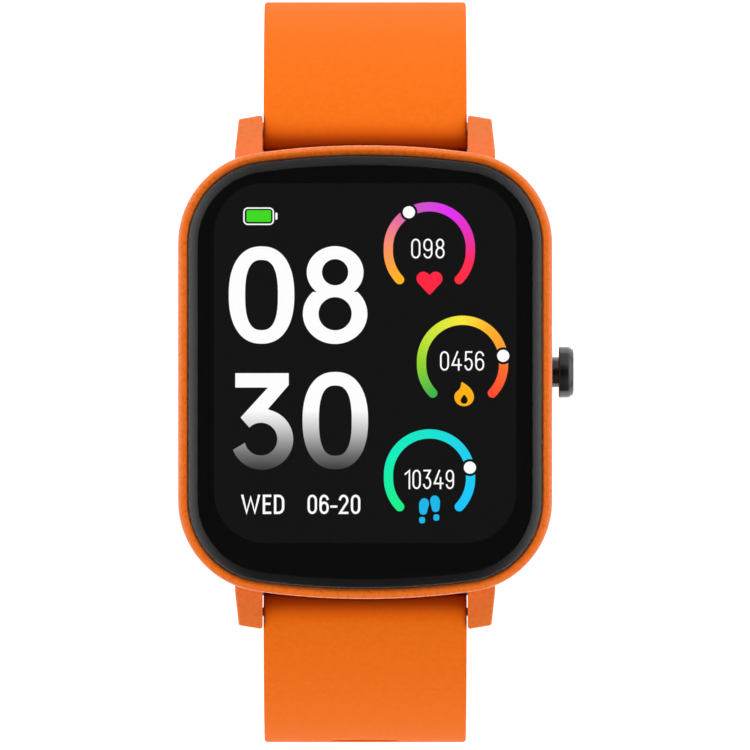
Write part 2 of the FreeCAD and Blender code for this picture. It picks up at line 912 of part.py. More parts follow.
def switch_plunger():
    return rod_x(switch_face - plunger_depth, stem_end - washer_gap, 0, crown_height, plunger_radius)


def crown_bracket():
    """Bent steel strip: holds the switch and reaches under the ring magnet."""
    front = bracket_back + bracket_thickness
    half = switch_width / 2
    plate = box(bracket_back, front, -half, half, bracket_foot, chassis_bottom)
    half = bracket_width / 2
    shelf_top = bracket_foot + bracket_thickness
    return fuse([plate, box(bracket_back, magnet_end, -half, half, bracket_foot, shelf_top)])


def crown_flex():
    """Ribbon behind the switch that lands on the main board."""
    back = bracket_x - flex_thickness
    half = switch_width / 2
    low = crown_height - crown_flex_fall
    high = board_top + flex_thickness
    near = board_start + crown_flex_gap
    face = box(back, bracket_x, -half, board_start, low, crown_height + crown_flex_rise)
    rise = box(back, bracket_x, half, near + crown_flex_gap, board_top, high)
    landing = box(back - crown_flex_reach, bracket_x, near, near + crown_flex_landing, board_top, high)
    return fuse([face, rise, landing])


def crown_sensor():
    """Field sensor on the bracket's foot, under the ring magnet."""
    end = magnet_end - field_sensor_gap
    half = field_sensor_width / 2
    foot = bracket_foot + bracket_thickness
    return box(end - field_sensor_length, end, -half, half, foot, foot + field_sensor_height)


def ring_point(centre_y, centre_z, radius, angle, side):
    """A point at angle from straight up, turning towards the strap's own side."""
    turn = math.radians(angle)
    return Vector(0, centre_y + side * radius * math.sin(turn), centre_z + radius * math.cos(turn))


def ring_arc(centre_y, centre_z, radius, start, end, side):
    middle = (start + end) / 2
    return arc(*[ring_point(centre_y, centre_z, radius, a, side) for a in (start, middle, end)])


def run_along_x(edges, x0, x1):
    face = Part.Face(Part.Wire(edges))
    face.translate(Vector(x0, 0, 0))
    return face.extrude(Vector(x1 - x0, 0, 0))


def ring_sector(inner, outer, start, end, x0, x1, side):
    edges = [
        ring_arc(0, wrist_z, outer, start, end, side),
        line(
            ring_point(0, wrist_z, outer, end, side),
            ring_point(0, wrist_z, inner, end, side),
        ),
        ring_arc(0, wrist_z, inner, end, start, side),
        line(
            ring_point(0, wrist_z, inner, start, side),
            ring_point(0, wrist_z, outer, start, side),
        ),
    ]
    return run_along_x(edges, x0, x1)


def strap_angle(length):
    """Angle round the wrist axis after this length of strap."""
    return root_angle + math.degrees(length / strap_radius)


def strap_root(side):
    """The eye round the spring bar, with the heel that stops on the case's end wall."""
    y = side * bar_y
    eye = rod_x(-strap_half, strap_half, y, bar_height, hub_radius)
    face = end_wall + heel_gap
    low = case_bottom - heel_drop
    meet = ring_point(0, wrist_z, strap_inner + heel_merge, root_angle + heel_sweep, side)
    points = [
        (side * face, low + heel_height),
        (side * face, low),
        (meet.y, min(low, meet.z)),
        (meet.y, meet.z),
        (y, bar_height),
    ]
    heel = side_polygon(points, -strap_half, strap_half)
    return [eye, heel]


def strap_bore(side):
    return rod_x(-strap_half, strap_half, side * bar_y, bar_height, bar_tube_radius + bar_fit)


def upper_strap():
    band = ring_sector(
        strap_inner, strap_outer, root_angle, strap_angle(upper_strap_length), -strap_half, strap_half, 1
    )
    pin = pin_place()
    end_eye = rod_x(-strap_half, strap_half, pin.y, pin.z, eye_radius)
    strap = fuse([band, end_eye] + strap_root(1))
    tongue_room = tongue_width / 2 + tongue_side_gap
    reach = 2 * eye_radius
    window = box(-tongue_room, tongue_room, -tongue_eye_radius - tongue_end_gap, reach, -reach, reach)
    cuts = [
        strap_bore(1),
        rod_x(-strap_half, strap_half, pin.y, pin.z, pin_radius + pin_fit),
        at_pin(window),
    ]
    return strap.cut(Part.makeCompound(cuts[:2])).cut(cuts[2])


def pin_place():
    return ring_point(0, wrist_z, strap_radius, strap_angle(upper_strap_length), 1)


def at_pin(shape):
    """Turns a shape drawn with Y along the strap and Z outward, and puts it on the pin."""
    placed = shape.copy()
    placed.rotate(Vector(0, 0, 0), Vector(1, 0, 0), -strap_angle(upper_strap_length))
    placed.translate(pin_place())
    return placed


def lower_path(length):
    """Middle of the long strap: its point and the angle that its outer side faces."""
    first = strap_radius * math.radians(90 - root_angle)
    bend_y = -(strap_radius - lower_bend_radius)
    bend_z = wrist_z - lower_strap_drop
    second = first + lower_strap_drop
    third = second + lower_bend_radius * math.pi / 2
    if length < first:
        angle = root_angle + math.degrees(length / strap_radius)
        return ring_point(0, wrist_z, strap_radius, angle, -1), angle
    if length < second:
        return Vector(0, -strap_radius, wrist_z - (length - first)), 90
    if length < third:
        angle = 90 + math.degrees((length - second) / lower_bend_radius)
        return ring_point(bend_y, bend_z, lower_bend_radius, angle, -1), angle
    return Vector(0, bend_y + length - third, bend_z - lower_bend_radius), 180


def lower_strap():
    bend_y = -(strap_radius - lower_bend_radius)
    bend_z = wrist_z - lower_strap_drop
    tail_end, angle = lower_path(lower_strap_length)
    half = strap_thickness / 2
    outer = lower_bend_radius + half
    inner = lower_bend_radius - half
    edges = [
        ring_arc(0, wrist_z, strap_outer, root_angle, 90, -1),
        line(Vector(0, -strap_outer, wrist_z), Vector(0, -strap_outer, bend_z)),
        ring_arc(bend_y, bend_z, outer, 90, 180, -1),
        line(Vector(0, bend_y, bend_z - outer), Vector(0, tail_end.y, bend_z - outer)),
        line(Vector(0, tail_end.y, bend_z - outer), Vector(0, tail_end.y, bend_z - inner)),
        line(Vector(0, tail_end.y, bend_z - inner), Vector(0, bend_y, bend_z - inner)),
        ring_arc(bend_y, bend_z, inner, 180, 90, -1),
        line(Vector(0, -strap_inner, bend_z), Vector(0, -strap_inner, wrist_z)),
        ring_arc(0, wrist_z, strap_inner, 90, root_angle, -1),
        line(
            ring_point(0, wrist_z, strap_inner, root_angle, -1),
            ring_point(0, wrist_z, strap_outer, root_angle, -1),
        ),
    ]
    band = run_along_x(edges, -strap_half, strap_half)
    strap = fuse([band] + strap_root(-1))
    cuts = [strap_bore(-1)]
    for i in range(slot_count):
        cuts.append(slot_cutter(first_slot + i * slot_pitch))
    for hand in (1, -1):
        cuts.append(tail_corner(hand, tail_end))
    return strap.cut(Part.makeCompound(cuts))


def slot_cutter(length):
    point, angle = lower_path(length)
    x = slot_width / 2
    y = slot_length / 2
    radius = y - slot_end_flat / 2
    cutter = rounded_plate(-x, x, -y, y, -strap_thickness, strap_thickness, radius)
    cutter.rotate(Vector(0, 0, 0), Vector(1, 0, 0), angle)
    cutter.translate(point)
    return cutter


def tail_corner(hand, tail_end):
    """What is cut away to round one corner of the tail in plan."""
    r = tail_corner_radius
    x = hand * strap_half
    y = tail_end.y
    low = tail_end.z - strap_thickness
    xs = sorted((x - hand * r, x + hand * 1))
    corner = box(xs[0], xs[1], y - r, y + 1, low, low + 2 * strap_thickness)
    return corner.cut(rod_z(x - hand * r, y - r, low, low + 2 * strap_thickness, r))


def bar_tube(side):
    y = side * bar_y
    half = strap_half - bar_tube_inset
    tube = rod_x(-half, half, y, bar_height, bar_tube_radius)
    return tube.cut(rod_x(-half, half, y, bar_height, bar_tube_bore))


def bar_tip(hand, side):
    """Spring bar end: a thin tip in the lug and a thicker stem inside the tube."""
    y = side * bar_y
    outer = lug_inner + bar_tip_depth - bar_tip_end_gap
    shoulder = strap_half - bar_shoulder_inset
    stem_start = shoulder - bar_stem_length
    tip = rod_x(*sorted((hand * shoulder, hand * outer)), y, bar_height, bar_tip_radius)
    stem = rod_x(*sorted((hand * stem_start, hand * shoulder)), y, bar_height, bar_shoulder_radius)
    return fuse([tip, stem])


def bar_spring(side):
    """Coil between the two stems inside the spring bar's tube."""
    stem_start = strap_half - bar_shoulder_inset - bar_stem_length
    half = stem_start - spring_wire / 2 - spring_end_gap
    radius = bar_tube_bore - spring_wire / 2 - spring_side_gap
    pitch = 2 * half / spring_turns
    helix = Part.makeLongHelix(pitch, 2 * half, radius, 0)
    section = Part.Wire(Part.makeCircle(spring_wire / 2, Vector(radius, 0, 0), Vector(0, 1, 0)))
    coil = helix.makePipeShell([section], True, True)
    coil.rotate(Vector(0, 0, 0), Vector(0, 1, 0), 90)
    coil.translate(Vector(-half, side * bar_y, bar_height))
    return coil


def turned_bar(x, inner, outer, radius, start, end):
    """A round-cornered section swept round the wrist axis from start to end."""
    axis_point = Vector(0, 0, wrist_z)
    along_x = Vector(1, 0, 0)
    section = Part.Face(rounded_outline(-x, x, inner, outer, 0, radius))
    section.rotate(Vector(0, 0, 0), along_x, 90)
    section.translate(axis_point)
    section.rotate(axis_point, along_x, -start)
    return section.revolve(axis_point, along_x, start - end)


def keeper(place, inner_gap, side_gap):
    """Flat loop round the short strap with room for the long strap outside it."""
    half_angle = math.degrees(keeper_length / 2 / strap_radius)
    start = strap_angle(place) - half_angle
    end = strap_angle(place) + half_angle
    inner = strap_inner - inner_gap
    outer = strap_outer + strap_thickness + keeper_gap
    x = strap_half + side_gap
    wall = keeper_wall
    loop = turned_bar(x + wall, inner - wall, outer + wall, keeper_round, start, end)
    return loop.cut(turned_bar(x, inner, outer, keeper_hole_round, start - 2, end + 2))


def buckle_frame():
    arm_in = strap_half + frame_side_gap
    arm_out = arm_in + frame_arm
    parts = [rod_x(-arm_out, arm_out, frame_reach, 0, frame_bar_radius)]
    for hand in (1, -1):
        xs = sorted((hand * arm_in, hand * arm_out))
        parts.append(rod_x(xs[0], xs[1], 0, 0, frame_end_radius))
        profile = [
            (0, -frame_end_radius),
            (frame_reach, -frame_bar_radius),
            (frame_reach, frame_bar_radius),
            (0, frame_end_radius),
        ]
        parts.append(side_polygon(profile, xs[0], xs[1]))
    frame = fuse(parts)
    sides = [e for e in frame.Edges if abs(abs(e.BoundBox.XMin) - arm_out) < 0.001]
    sides = [e for e in sides if e.BoundBox.XMax - e.BoundBox.XMin < 0.001]
    frame = frame.makeFillet(frame_edge_round, sides)
    return at_pin(frame.cut(rod_x(-pin_reach, pin_reach, 0, 0, pin_radius)))


def buckle_pin():
    return at_pin(rod_x(-pin_reach, pin_reach, 0, 0, pin_radius))


def buckle_tongue():
    half = tongue_width / 2
    rest = frame_bar_radius + tongue_rest_gap
    end = frame_reach + tongue_overhang
    blade = side_polygon(
        [
            (0, tongue_root_height),
            (tongue_root_length, tongue_eye_radius - tongue_thickness),
            (frame_reach - tongue_flat, rest),
            (end, rest),
            (end, rest + tongue_tip_height),
            (frame_reach - tongue_flat, rest + tongue_thickness),
            (0, tongue_eye_radius),
        ],
        -half,
        half,
    )
    eye = rod_x(-half, half, 0, 0, tongue_eye_radius)
    bore = rod_x(-half, half, 0, 0, pin_radius + pin_fit)
    tongue = fuse([eye, blade]).cut(bore)
    tip = [e for e in tongue.Edges if e.BoundBox.YMin > end - 0.01 and e.BoundBox.XLength < 0.01]
    tongue = tongue.makeFillet(tongue_tip_round, tip)
    return at_pin(tongue)


os.makedirs("parts", exist_ok=True)

save("case_body", case_body())
save("back_cover", back_cover())
save("back_gasket", back_gasket())
save("back_cover_screws", cover_screws())
save("sensor_window", sensor_window())
save("sensor_baffle", sensor_baffle())
save("sensor_board", sensor_board())
save("sensor_leds", chip_row(emitter_places(), emitter_size, sensor_face, emitter_height))
save("photodiodes", chip_row(detector_places(), emitter_size, sensor_face, emitter_height))
save("sensor_flex", sensor_flex())
save("charging_contacts", charging_contacts())
save("charging_magnets", charging_magnets())

save("chassis", chassis())
save("chassis_screws", chassis_screws())
save("display_tray", display_tray())
save("display_panel", display_panel())
save("display_flex", display_flex())
save("display_socket", display_socket())
save("touch_sensor", touch_sensor())
save("glass_print", glass_print())
save("glass_adhesive", glass_adhesive())
save("cover_glass", cover_glass())

save("battery", battery())
save("battery_pad", battery_pad())
save("main_board", main_board())
save("board_screws", board_screws())
save("shield_can", shield_can())
save("chips", chips())
save("gps_antenna", gps_antenna())
save("vibration_motor", vibration_motor())

save("crown_tube", crown_tube())
save("crown_cap", crown_cap())
save("crown_seals", crown_seals())
save("crown_washer", crown_washer())
save("crown_clip", crown_clip())
save("crown_magnet", crown_magnet())
save("crown_switch", crown_switch())
save("switch_plunger", switch_plunger())
save("crown_bracket", crown_bracket())
save("crown_flex", crown_flex())
save("crown_sensor", crown_sensor())

save("upper_strap", upper_strap())
save("lower_strap", lower_strap())
for strap_name, strap_side in (("upper", 1), ("lower", -1)):
    save(strap_name + "_bar_tube", bar_tube(strap_side))
    save(strap_name + "_bar_spring", bar_spring(strap_side))
    save(strap_name + "_bar_tip_right", bar_tip(1, strap_side))
    save(strap_name + "_bar_tip_left", bar_tip(-1, strap_side))
save("fixed_keeper", keeper(fixed_keeper_place, 0, 0))
save("free_keeper", keeper(free_keeper_place, keeper_gap, keeper_gap))

save("buckle_frame", buckle_frame())
save("buckle_pin", buckle_pin())
save("buckle_tongue", buckle_tongue())
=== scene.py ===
import json
import math

import bmesh
import bpy
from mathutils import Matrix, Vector


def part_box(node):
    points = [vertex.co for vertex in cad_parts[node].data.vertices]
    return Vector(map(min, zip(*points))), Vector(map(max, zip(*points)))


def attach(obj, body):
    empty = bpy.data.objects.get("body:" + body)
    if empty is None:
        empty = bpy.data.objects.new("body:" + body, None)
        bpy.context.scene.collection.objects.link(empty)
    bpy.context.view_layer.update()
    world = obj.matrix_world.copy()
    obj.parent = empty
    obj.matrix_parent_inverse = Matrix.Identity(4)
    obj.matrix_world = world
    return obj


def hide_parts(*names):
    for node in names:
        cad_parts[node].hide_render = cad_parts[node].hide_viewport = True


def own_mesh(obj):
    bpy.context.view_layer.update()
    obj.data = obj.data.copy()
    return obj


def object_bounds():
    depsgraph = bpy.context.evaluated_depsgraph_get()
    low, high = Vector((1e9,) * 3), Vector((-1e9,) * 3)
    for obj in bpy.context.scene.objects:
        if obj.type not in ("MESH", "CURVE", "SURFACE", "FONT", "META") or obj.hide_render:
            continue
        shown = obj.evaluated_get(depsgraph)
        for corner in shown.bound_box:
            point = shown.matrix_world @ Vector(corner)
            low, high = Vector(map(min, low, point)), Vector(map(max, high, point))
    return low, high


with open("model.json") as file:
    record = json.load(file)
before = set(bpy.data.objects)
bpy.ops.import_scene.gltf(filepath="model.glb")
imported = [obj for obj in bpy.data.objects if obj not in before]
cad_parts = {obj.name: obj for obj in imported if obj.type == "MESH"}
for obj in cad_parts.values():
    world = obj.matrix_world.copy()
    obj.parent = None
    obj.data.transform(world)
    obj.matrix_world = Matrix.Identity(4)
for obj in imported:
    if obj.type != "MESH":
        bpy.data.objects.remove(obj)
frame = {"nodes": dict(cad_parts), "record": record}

# A square-faced running watch: orange coated case and silicone straps, a lit display under
# bevelled glass, a polished dark crown. Sizes are millimetres here, and the scene is in metres.
mm = 0.001
waveRepeat = 0.314  # how far apart a wave texture's bands are at scale 1
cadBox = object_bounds()
nodes = frame["nodes"]
scene = bpy.context.scene


def linear(hexText):
    # an sRGB hex value as linear red, green, blue and a full alpha
    parts = [int(hexText[i : i + 2], 16) / 255 for i in (1, 3, 5)]
    return [p / 12.92 if p <= 0.04045 else ((p + 0.055) / 1.055) ** 2.4 for p in parts] + [1.0]


def shares(count, first=0):
    # even steps up to 1, from 0 or from the first step
    return [k / count for k in range(first, count + 1)]


def addNode(tree, kind, settings=None, links=None):
    # a setting goes to the node itself, or to its socket of that name or number; tones are a ramp's
    # (place, hex) stops
    node = tree.nodes.new("ShaderNode" + kind)
    for name, value in (settings or {}).items():
        if name == "tones":
            stops = node.color_ramp.elements
            while len(stops) < len(value):
                stops.new(0.5)
            for stop, (place, tone) in zip(stops, value):
                stop.position = place
                stop.color = linear(tone)
        elif isinstance(name, str) and hasattr(node, name):
            setattr(node, name, value)
        else:
            node.inputs[name].default_value = value
    for socket, source in (links or {}).items():
        tree.links.new(source, node.inputs[socket])
    return node


def newMaterial(name, sockets):
    # also gives its nodes, its shader and the place on the object that patterns start from
    material = bpy.data.materials.new(name)
    material.use_nodes = True
    tree = material.node_tree
    shader = tree.nodes["Principled BSDF"]
    for socket, value in sockets.items():
        shader.inputs[socket].default_value = value
    return material, tree, shader, {"Vector": addNode(tree, "TexCoord").outputs["Object"]}


def mottled(name, tones, grain, depth, rough, sockets=None, stretch=(1, 1, 1)):
    # two close tones, an uneven gloss and a faint relief; grain and depth are in millimetres
    material, tree, shader, where = newMaterial(name, sockets or {})
    drawn = addNode(tree, "Mapping", {"Scale": stretch}, where)
    noise = addNode(tree, "TexNoise", {"Scale": 1 / (grain * mm), "Detail": 3.0}, {"Vector": drawn.outputs[0]})
    value = noise.outputs["Fac"]
    ramp = addNode(tree, "ValToRGB", {"tones": [(0.3, tones[0]), (0.7, tones[1])]}, {"Fac": value})
    tree.links.new(ramp.outputs["Color"], shader.inputs["Base Color"])
    gloss = addNode(tree, "MapRange", {"To Min": rough[0], "To Max": rough[1]}, {"Value": value})
    tree.links.new(gloss.outputs["Result"], shader.inputs["Roughness"])
    relief = addNode(tree, "Bump", {"Strength": 1.0, "Distance": depth * mm}, {"Height": value})
    tree.links.new(relief.outputs["Normal"], shader.inputs["Normal"])
    return material, tree, shader, where


def addPiece(name, points, faces, body, slotName, sharp=35, material=None, node=None):
    mesh = bpy.data.meshes.new(name)
    mesh.from_pydata([Vector(p) * mm for p in points], [], faces)
    work = bmesh.new()
    work.from_mesh(mesh)
    bmesh.ops.remove_doubles(work, verts=work.verts, dist=0.002 * mm)
    bmesh.ops.recalc_face_normals(work, faces=work.faces)
    work.to_mesh(mesh)
    work.free()
    mesh.polygons.foreach_set("use_smooth", [True] * len(mesh.polygons))
    mesh.set_sharp_from_angle(angle=math.radians(sharp))
    mesh.materials.append(material or finishes[slotName])
    piece = bpy.data.objects.new(name, mesh)
    scene.collection.objects.link(piece)
    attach(piece, body)
    if node:
        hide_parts(node)
    return piece


def joinRings(rings, looped=False, caps=True):
    # quads between rings of equal length; the end rings are filled unless the rings close on themselves
    points = [p for ring in rings for p in ring]
    n = len(rings[0])
    faces = []
    for i in range(len(rings) if looped else len(rings) - 1):
        a, b = i * n, ((i + 1) % len(rings)) * n
        faces += [(a + j, a + (j + 1) % n, b + (j + 1) % n, b + j) for j in range(n)]
    if caps and not looped:
        last = (len(rings) - 1) * n
        faces += [tuple(range(n))[::-1], tuple(range(last, last + n))]
    return points, faces


# name, two tones, grain and depth in millimetres, roughness, and sockets that differ from plain
plainFinishes = {
    # Satin lacquer sprayed on a die-cast shell: a soft broad shine, and a ripple too shallow to see as bumps.
    "orange_case": (
        "satin_orange_lacquer", ("#f06f0d", "#f2710e"), 0.6, 0.00012, (0.26, 0.29),
        {"Coat Weight": 0.7, "Coat Roughness": 0.12, "IOR": 1.5},
    ),
    # Dark vapour-deposited coating on polished steel: close to a mirror, with fine marks along X.
    "gunmetal": (
        "polished_gunmetal_plating", ("#515052", "#585759"), 0.25, 0.0002, (0.10, 0.16),
        {"Metallic": 1.0}, (0.15, 1, 1),
    ),
    # Plain stainless steel, pressed or turned: bright grey with drawn lines along X.
    "steel": (
        "drawn_stainless_steel", ("#a9a9aa", "#c2c2c3"), 0.2, 0.0006, (0.22, 0.34),
        {"Metallic": 1.0}, (0.1, 1, 1),
    ),
    # Glass-filled ABS with a spark-textured face: dark, with a dry shine.
    "black_plastic": (
        "spark_textured_black_abs", ("#161617", "#1e1e20"), 0.15, 0.006, (0.45, 0.6), {"IOR": 1.53}
    ),
    # Moulded nitrile rubber: flat black with a faint, uneven skin.
    "seal_rubber": ("moulded_nitrile_rubber", ("#141414", "#1d1d1d"), 0.2, 0.004, (0.6, 0.75), {"IOR": 1.52}),
    # Black epoxy moulded round a chip: even, waxy, lightly pitted.
    "chip_epoxy": ("moulded_chip_epoxy", ("#1b1b1d", "#242427"), 0.08, 0.003, (0.4, 0.5), {"IOR": 1.55}),
    # Lens epoxy cast over the emitters: milky, and bright where it catches light.
    "led": ("clear_emitter_epoxy", ("#d9e8d2", "#e8f2df"), 0.3, 0.001, (0.12, 0.2), {"IOR": 1.54}),
    # Hard gold plating on a pressed contact: warm and even, with a tight highlight.
    "gold_contact": ("hard_gold_plating", ("#d9a441", "#e6b65a"), 0.3, 0.0005, (0.16, 0.26), {"Metallic": 1.0}),
    # Nickel-plated rare-earth magnet: warm silver with softly dished faces.
    "magnet": ("nickel_plated_magnet", ("#a39e96", "#b8b2a8"), 0.4, 0.0008, (0.18, 0.28), {"Metallic": 1.0}),
    # Aluminium foil laminate, pressed into a pouch: silver, with soft crinkles.
    "battery_foil": ("crinkled_pouch_foil", ("#9ea1a5", "#b6b8bb"), 1.8, 0.05, (0.25, 0.4), {"Metallic": 0.9}),
    # Black open-cell foam: dead matt and finely pitted.
    "foam": ("black_cell_foam", ("#1a1a1a", "#2a2a2a"), 0.12, 0.03, (0.8, 0.95)),
    # Smoked polycarbonate, moulded and polished: near black, with a clear sharp shine.
    "sensor_lens": (
        "smoked_polycarbonate_lens", ("#0b0c10", "#101116"), 2.0, 0.0004, (0.05, 0.09),
        {"IOR": 1.58, "Coat Weight": 0.5, "Coat Roughness": 0.03},
    ),
    # Screen-printed ink on the back of the glass: dense black, with no shine because it is bonded.
    "black_print": (
        "screen_printed_black_ink", ("#060606", "#080808"), 0.1, 0.0008, (0.5, 0.62),
        {"Specular IOR Level": 0.0},
    ),
    # Laminated display stack, switched off: near black and smooth.
    "display": ("optically_bonded_display", ("#070708", "#0a0a0b"), 0.2, 0.0004, (0.15, 0.25)),
}


# Compression-moulded silicone: an even matt skin, with hardly any highlight.
def mouldedSilicone():
    material, tree, shader, where = mottled(
        "moulded_orange_silicone", ("#ee6c08", "#f3710c"), 0.5, 0.004, (0.72, 0.82),
        {"IOR": 1.41, "Specular IOR Level": 0.15},
    )
    # spark-eroded mould texture, grains of about 0.12 mm, over the slower unevenness
    grain = addNode(tree, "TexVoronoi", {"Scale": 1 / (0.12 * mm)}, where)
    slow = shader.inputs["Normal"].links[0].from_socket
    fine = addNode(
        tree, "Bump", {"Strength": 0.5, "Distance": 0.004 * mm},
        {"Height": grain.outputs["Distance"], "Normal": slow},
    )
    tree.links.new(fine.outputs["Normal"], shader.inputs["Normal"])
    # painted shade: an ambient occlusion node darkens the colour to brown within 6 mm of the case and in the
    # slots
    paintedShadeAO = addNode(tree, "AmbientOcclusion", {"Distance": 6 * mm, "samples": 8})
    shade = addNode(tree, "MapRange", {"From Min": 0.35, "From Max": 0.92}, {"Value": paintedShadeAO.outputs["AO"]})
    tone = shader.inputs["Base Color"].links[0].from_socket
    mixed = addNode(
        tree, "MixRGB", {"Color1": linear("#a34a04")}, {"Fac": shade.outputs["Result"], "Color2": tone}
    )
    tree.links.new(mixed.outputs["Color"], shader.inputs["Base Color"])
    return material


# Solder mask printed over copper: dark green, with paler lines where tracks run under it.
def maskedBoard():
    material, tree, shader, where = mottled(
        "green_masked_circuit_board", ("#0e4028", "#125033"), 0.4, 0.002, (0.3, 0.42), {"IOR": 1.5}
    )
    scaled = addNode(tree, "Mapping", {"Scale": (1 / (1.2 * mm),) * 3}, where)
    tracks = addNode(
        tree, "TexBrick",
        {
            "Scale": 1.0, "Mortar Size": 0.06,
            "Color1": (0, 0, 0, 1), "Color2": (0.1, 0.1, 0.1, 1), "Mortar": (1, 1, 1, 1),
        },
        {"Vector": scaled.outputs[0]},
    )
    tone = shader.inputs["Base Color"].links[0].from_socket
    mixed = addNode(
        tree, "MixRGB", {"Color2": linear("#2c7a4d")}, {"Fac": tracks.outputs["Color"], "Color1": tone}
    )
    tree.links.new(mixed.outputs["Color"], shader.inputs["Base Color"])
    return material


# Polyimide film laminated over etched copper: amber, with the lines showing through 0.4 mm apart.
def polyimideFilm():
    material, tree, shader, where = mottled(
        "amber_polyimide_film", ("#b5631a", "#c4701f"), 0.8, 0.002, (0.25, 0.35), {"IOR": 1.7}
    )
    lines = addNode(tree, "TexWave", {"Scale": waveRepeat / (0.4 * mm)}, where)
    tone = shader.inputs["Base Color"].links[0].from_socket
    mixed = addNode(
        tree, "MixRGB", {"Color2": linear("#8a4512")}, {"Fac": lines.outputs["Fac"], "Color1": tone}
    )
    tree.links.new(mixed.outputs["Color"], shader.inputs["Base Color"])
    return material


# Chemically strengthened glass, ground and polished: clear, with a crisp line round the bevel.
def polishedGlass():
    material, tree, shader, where = newMaterial(
        "polished_cover_glass", {"Base Color": (1, 1, 1, 1), "Transmission Weight": 1.0, "IOR": 1.5}
    )
    haze = addNode(tree, "TexNoise", {"Scale": 1 / (6 * mm), "Detail": 2.0}, where)
    gloss = addNode(tree, "MapRange", {"To Min": 0.0, "To Max": 0.02}, {"Value": haze.outputs["Fac"]})
    tree.links.new(gloss.outputs["Result"], shader.inputs["Roughness"])
    return material


def paintNodes():
    bySlot = {slotName: mottled(*row)[0] for slotName, row in plainFinishes.items()}
    bySlot["orange_silicone"] = mouldedSilicone()
    bySlot["circuit_board"] = maskedBoard()
    bySlot["flex_film"] = polyimideFilm()
    bySlot["cover_glass"] = polishedGlass()
    for row in frame["record"]["subparts"]:
        places = nodes[row["node"]].data.materials
        for i in range(len(places)):
            places[i] = bySlot[row["material_slot"]]
    print("materials are on", len(nodes), "nodes")
    return bySlot


finishes = paintNodes()

# The case's outline from the front: straight sides, round corners and ends that bow outward
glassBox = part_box("cover_glass")
caseShape = {
    "glassInset": 0.97,
    "side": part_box("case_body")[1].x / mm,
    "corner": 9.07,
    "endArc": 78.0,
}


def caseOutline(inset, z):
    side, corner, endArc = caseShape["side"], caseShape["corner"], caseShape["endArc"]
    end = glassBox[1].y / mm + caseShape["glassInset"]
    cornerX = side - corner
    centreY = end - endArc
    cornerY = centreY + math.sqrt((endArc - corner) ** 2 - cornerX**2)
    turn = math.atan2(cornerY - centreY, cornerX)
    quarter = [(side - inset, cornerY * share) for share in shares(4)[:-1]]
    for share in shares(28):
        a = turn * share
        quarter.append((cornerX + (corner - inset) * math.cos(a), cornerY + (corner - inset) * math.sin(a)))
    for share in shares(12, 1):
        a = turn + (math.pi / 2 - turn) * share
        quarter.append(((endArc - inset) * math.cos(a), centreY + (endArc - inset) * math.sin(a)))
    half = quarter + [(-x, y) for x, y in quarter[-2::-1]]
    whole = half + [(x, -y) for x, y in half[-2:0:-1]]
    return [(x, y, z) for x, y in whole]


coverGlass = {
    "bevelWidth": 0.98,
    "bevelDrop": 0.72,
    "lowerEdge": 0.06,
    "innerSlope": 18,  # degrees, where the bevel meets the flat in a crisp line
    "underside": 8.49,  # leaves room over the lit layer
}


def makeGlass():
    top = glassBox[1].z / mm
    inset, width, drop = caseShape["glassInset"], coverGlass["bevelWidth"], coverGlass["bevelDrop"]
    underside, edge = coverGlass["underside"], coverGlass["lowerEdge"]
    rings = [
        caseOutline(inset + edge, underside),
        caseOutline(inset, underside + edge),
        caseOutline(inset, top - drop),
    ]
    # an arc whose steepest slope is set so that it spans the bevel's width and drop
    low = math.radians(coverGlass["innerSlope"])
    high = 2 * math.atan2(drop, width) - low
    radius = width / (math.sin(high) - math.sin(low))
    for share in shares(16, 1):
        a = high + (low - high) * share
        across = radius * (math.sin(high) - math.sin(a))
        rings.append(caseOutline(inset + across, top - drop + radius * (math.cos(a) - math.cos(high))))
    addPiece("bevelled_cover_glass", *joinRings(rings), "case", "cover_glass", 12, node="cover_glass")
    print("glass is on")


makeGlass()


# The lit display is flat glowing shapes a hair above the touch layer.
def litMaterial(name, tones, axis=None, centre=(0, 0)):
    # one tone, tones between two heights, or tones round a centre (axis "turn")
    material, tree, shader, where = newMaterial(
        name, {"Base Color": (0.001, 0.001, 0.001, 1), "Roughness": 0.5, "Specular IOR Level": 0.0}
    )
    # columns of picture elements 0.11 mm apart, a few percent darker between
    columns = addNode(tree, "TexWave", {"Scale": waveRepeat / (0.11 * mm)}, where)
    dim = addNode(tree, "MapRange", {"To Min": 1.06, "To Max": 1.10}, {"Value": columns.outputs["Fac"]})
    tree.links.new(dim.outputs["Result"], shader.inputs["Emission Strength"])
    if axis is None:
        shader.inputs["Emission Color"].default_value = linear(tones)
        return material
    if axis == "turn":
        centred = addNode(tree, "Mapping", {"Location": (-centre[0] * mm, -centre[1] * mm, 0)}, where)
        parts = addNode(tree, "SeparateXYZ", links={0: centred.outputs[0]})
        swapped = addNode(tree, "CombineXYZ", links={0: parts.outputs["Y"], 1: parts.outputs["X"]})
        radial = addNode(tree, "TexGradient", {"gradient_type": "RADIAL"}, {"Vector": swapped.outputs[0]})
        value = radial.outputs["Fac"]
    else:
        reach = {"From Min": axis[0] * mm, "From Max": axis[1] * mm}
        split = addNode(tree, "SeparateXYZ", links=where)
        value = addNode(tree, "MapRange", reach, {"Value": split.outputs["Y"]}).outputs["Result"]
    ramp = addNode(tree, "ValToRGB", {"tones": tones}, {"Fac": value})
    tree.links.new(ramp.outputs["Color"], shader.inputs["Emission Color"])
    return material


display = {
    "middle": (0.0, 0.9),  # centre of the lit window
    "half": (14.85, 17.665),
    "corner": 4.9,
    "layer": 8.456,
    "thickness": 0.002,
    "lifts": {"background": 0.0, "shape": 0.008, "knobGap": 0.014, "knob": 0.020},
    "white": "#fdfdfd",
    "black": "#0e0e0e",
}


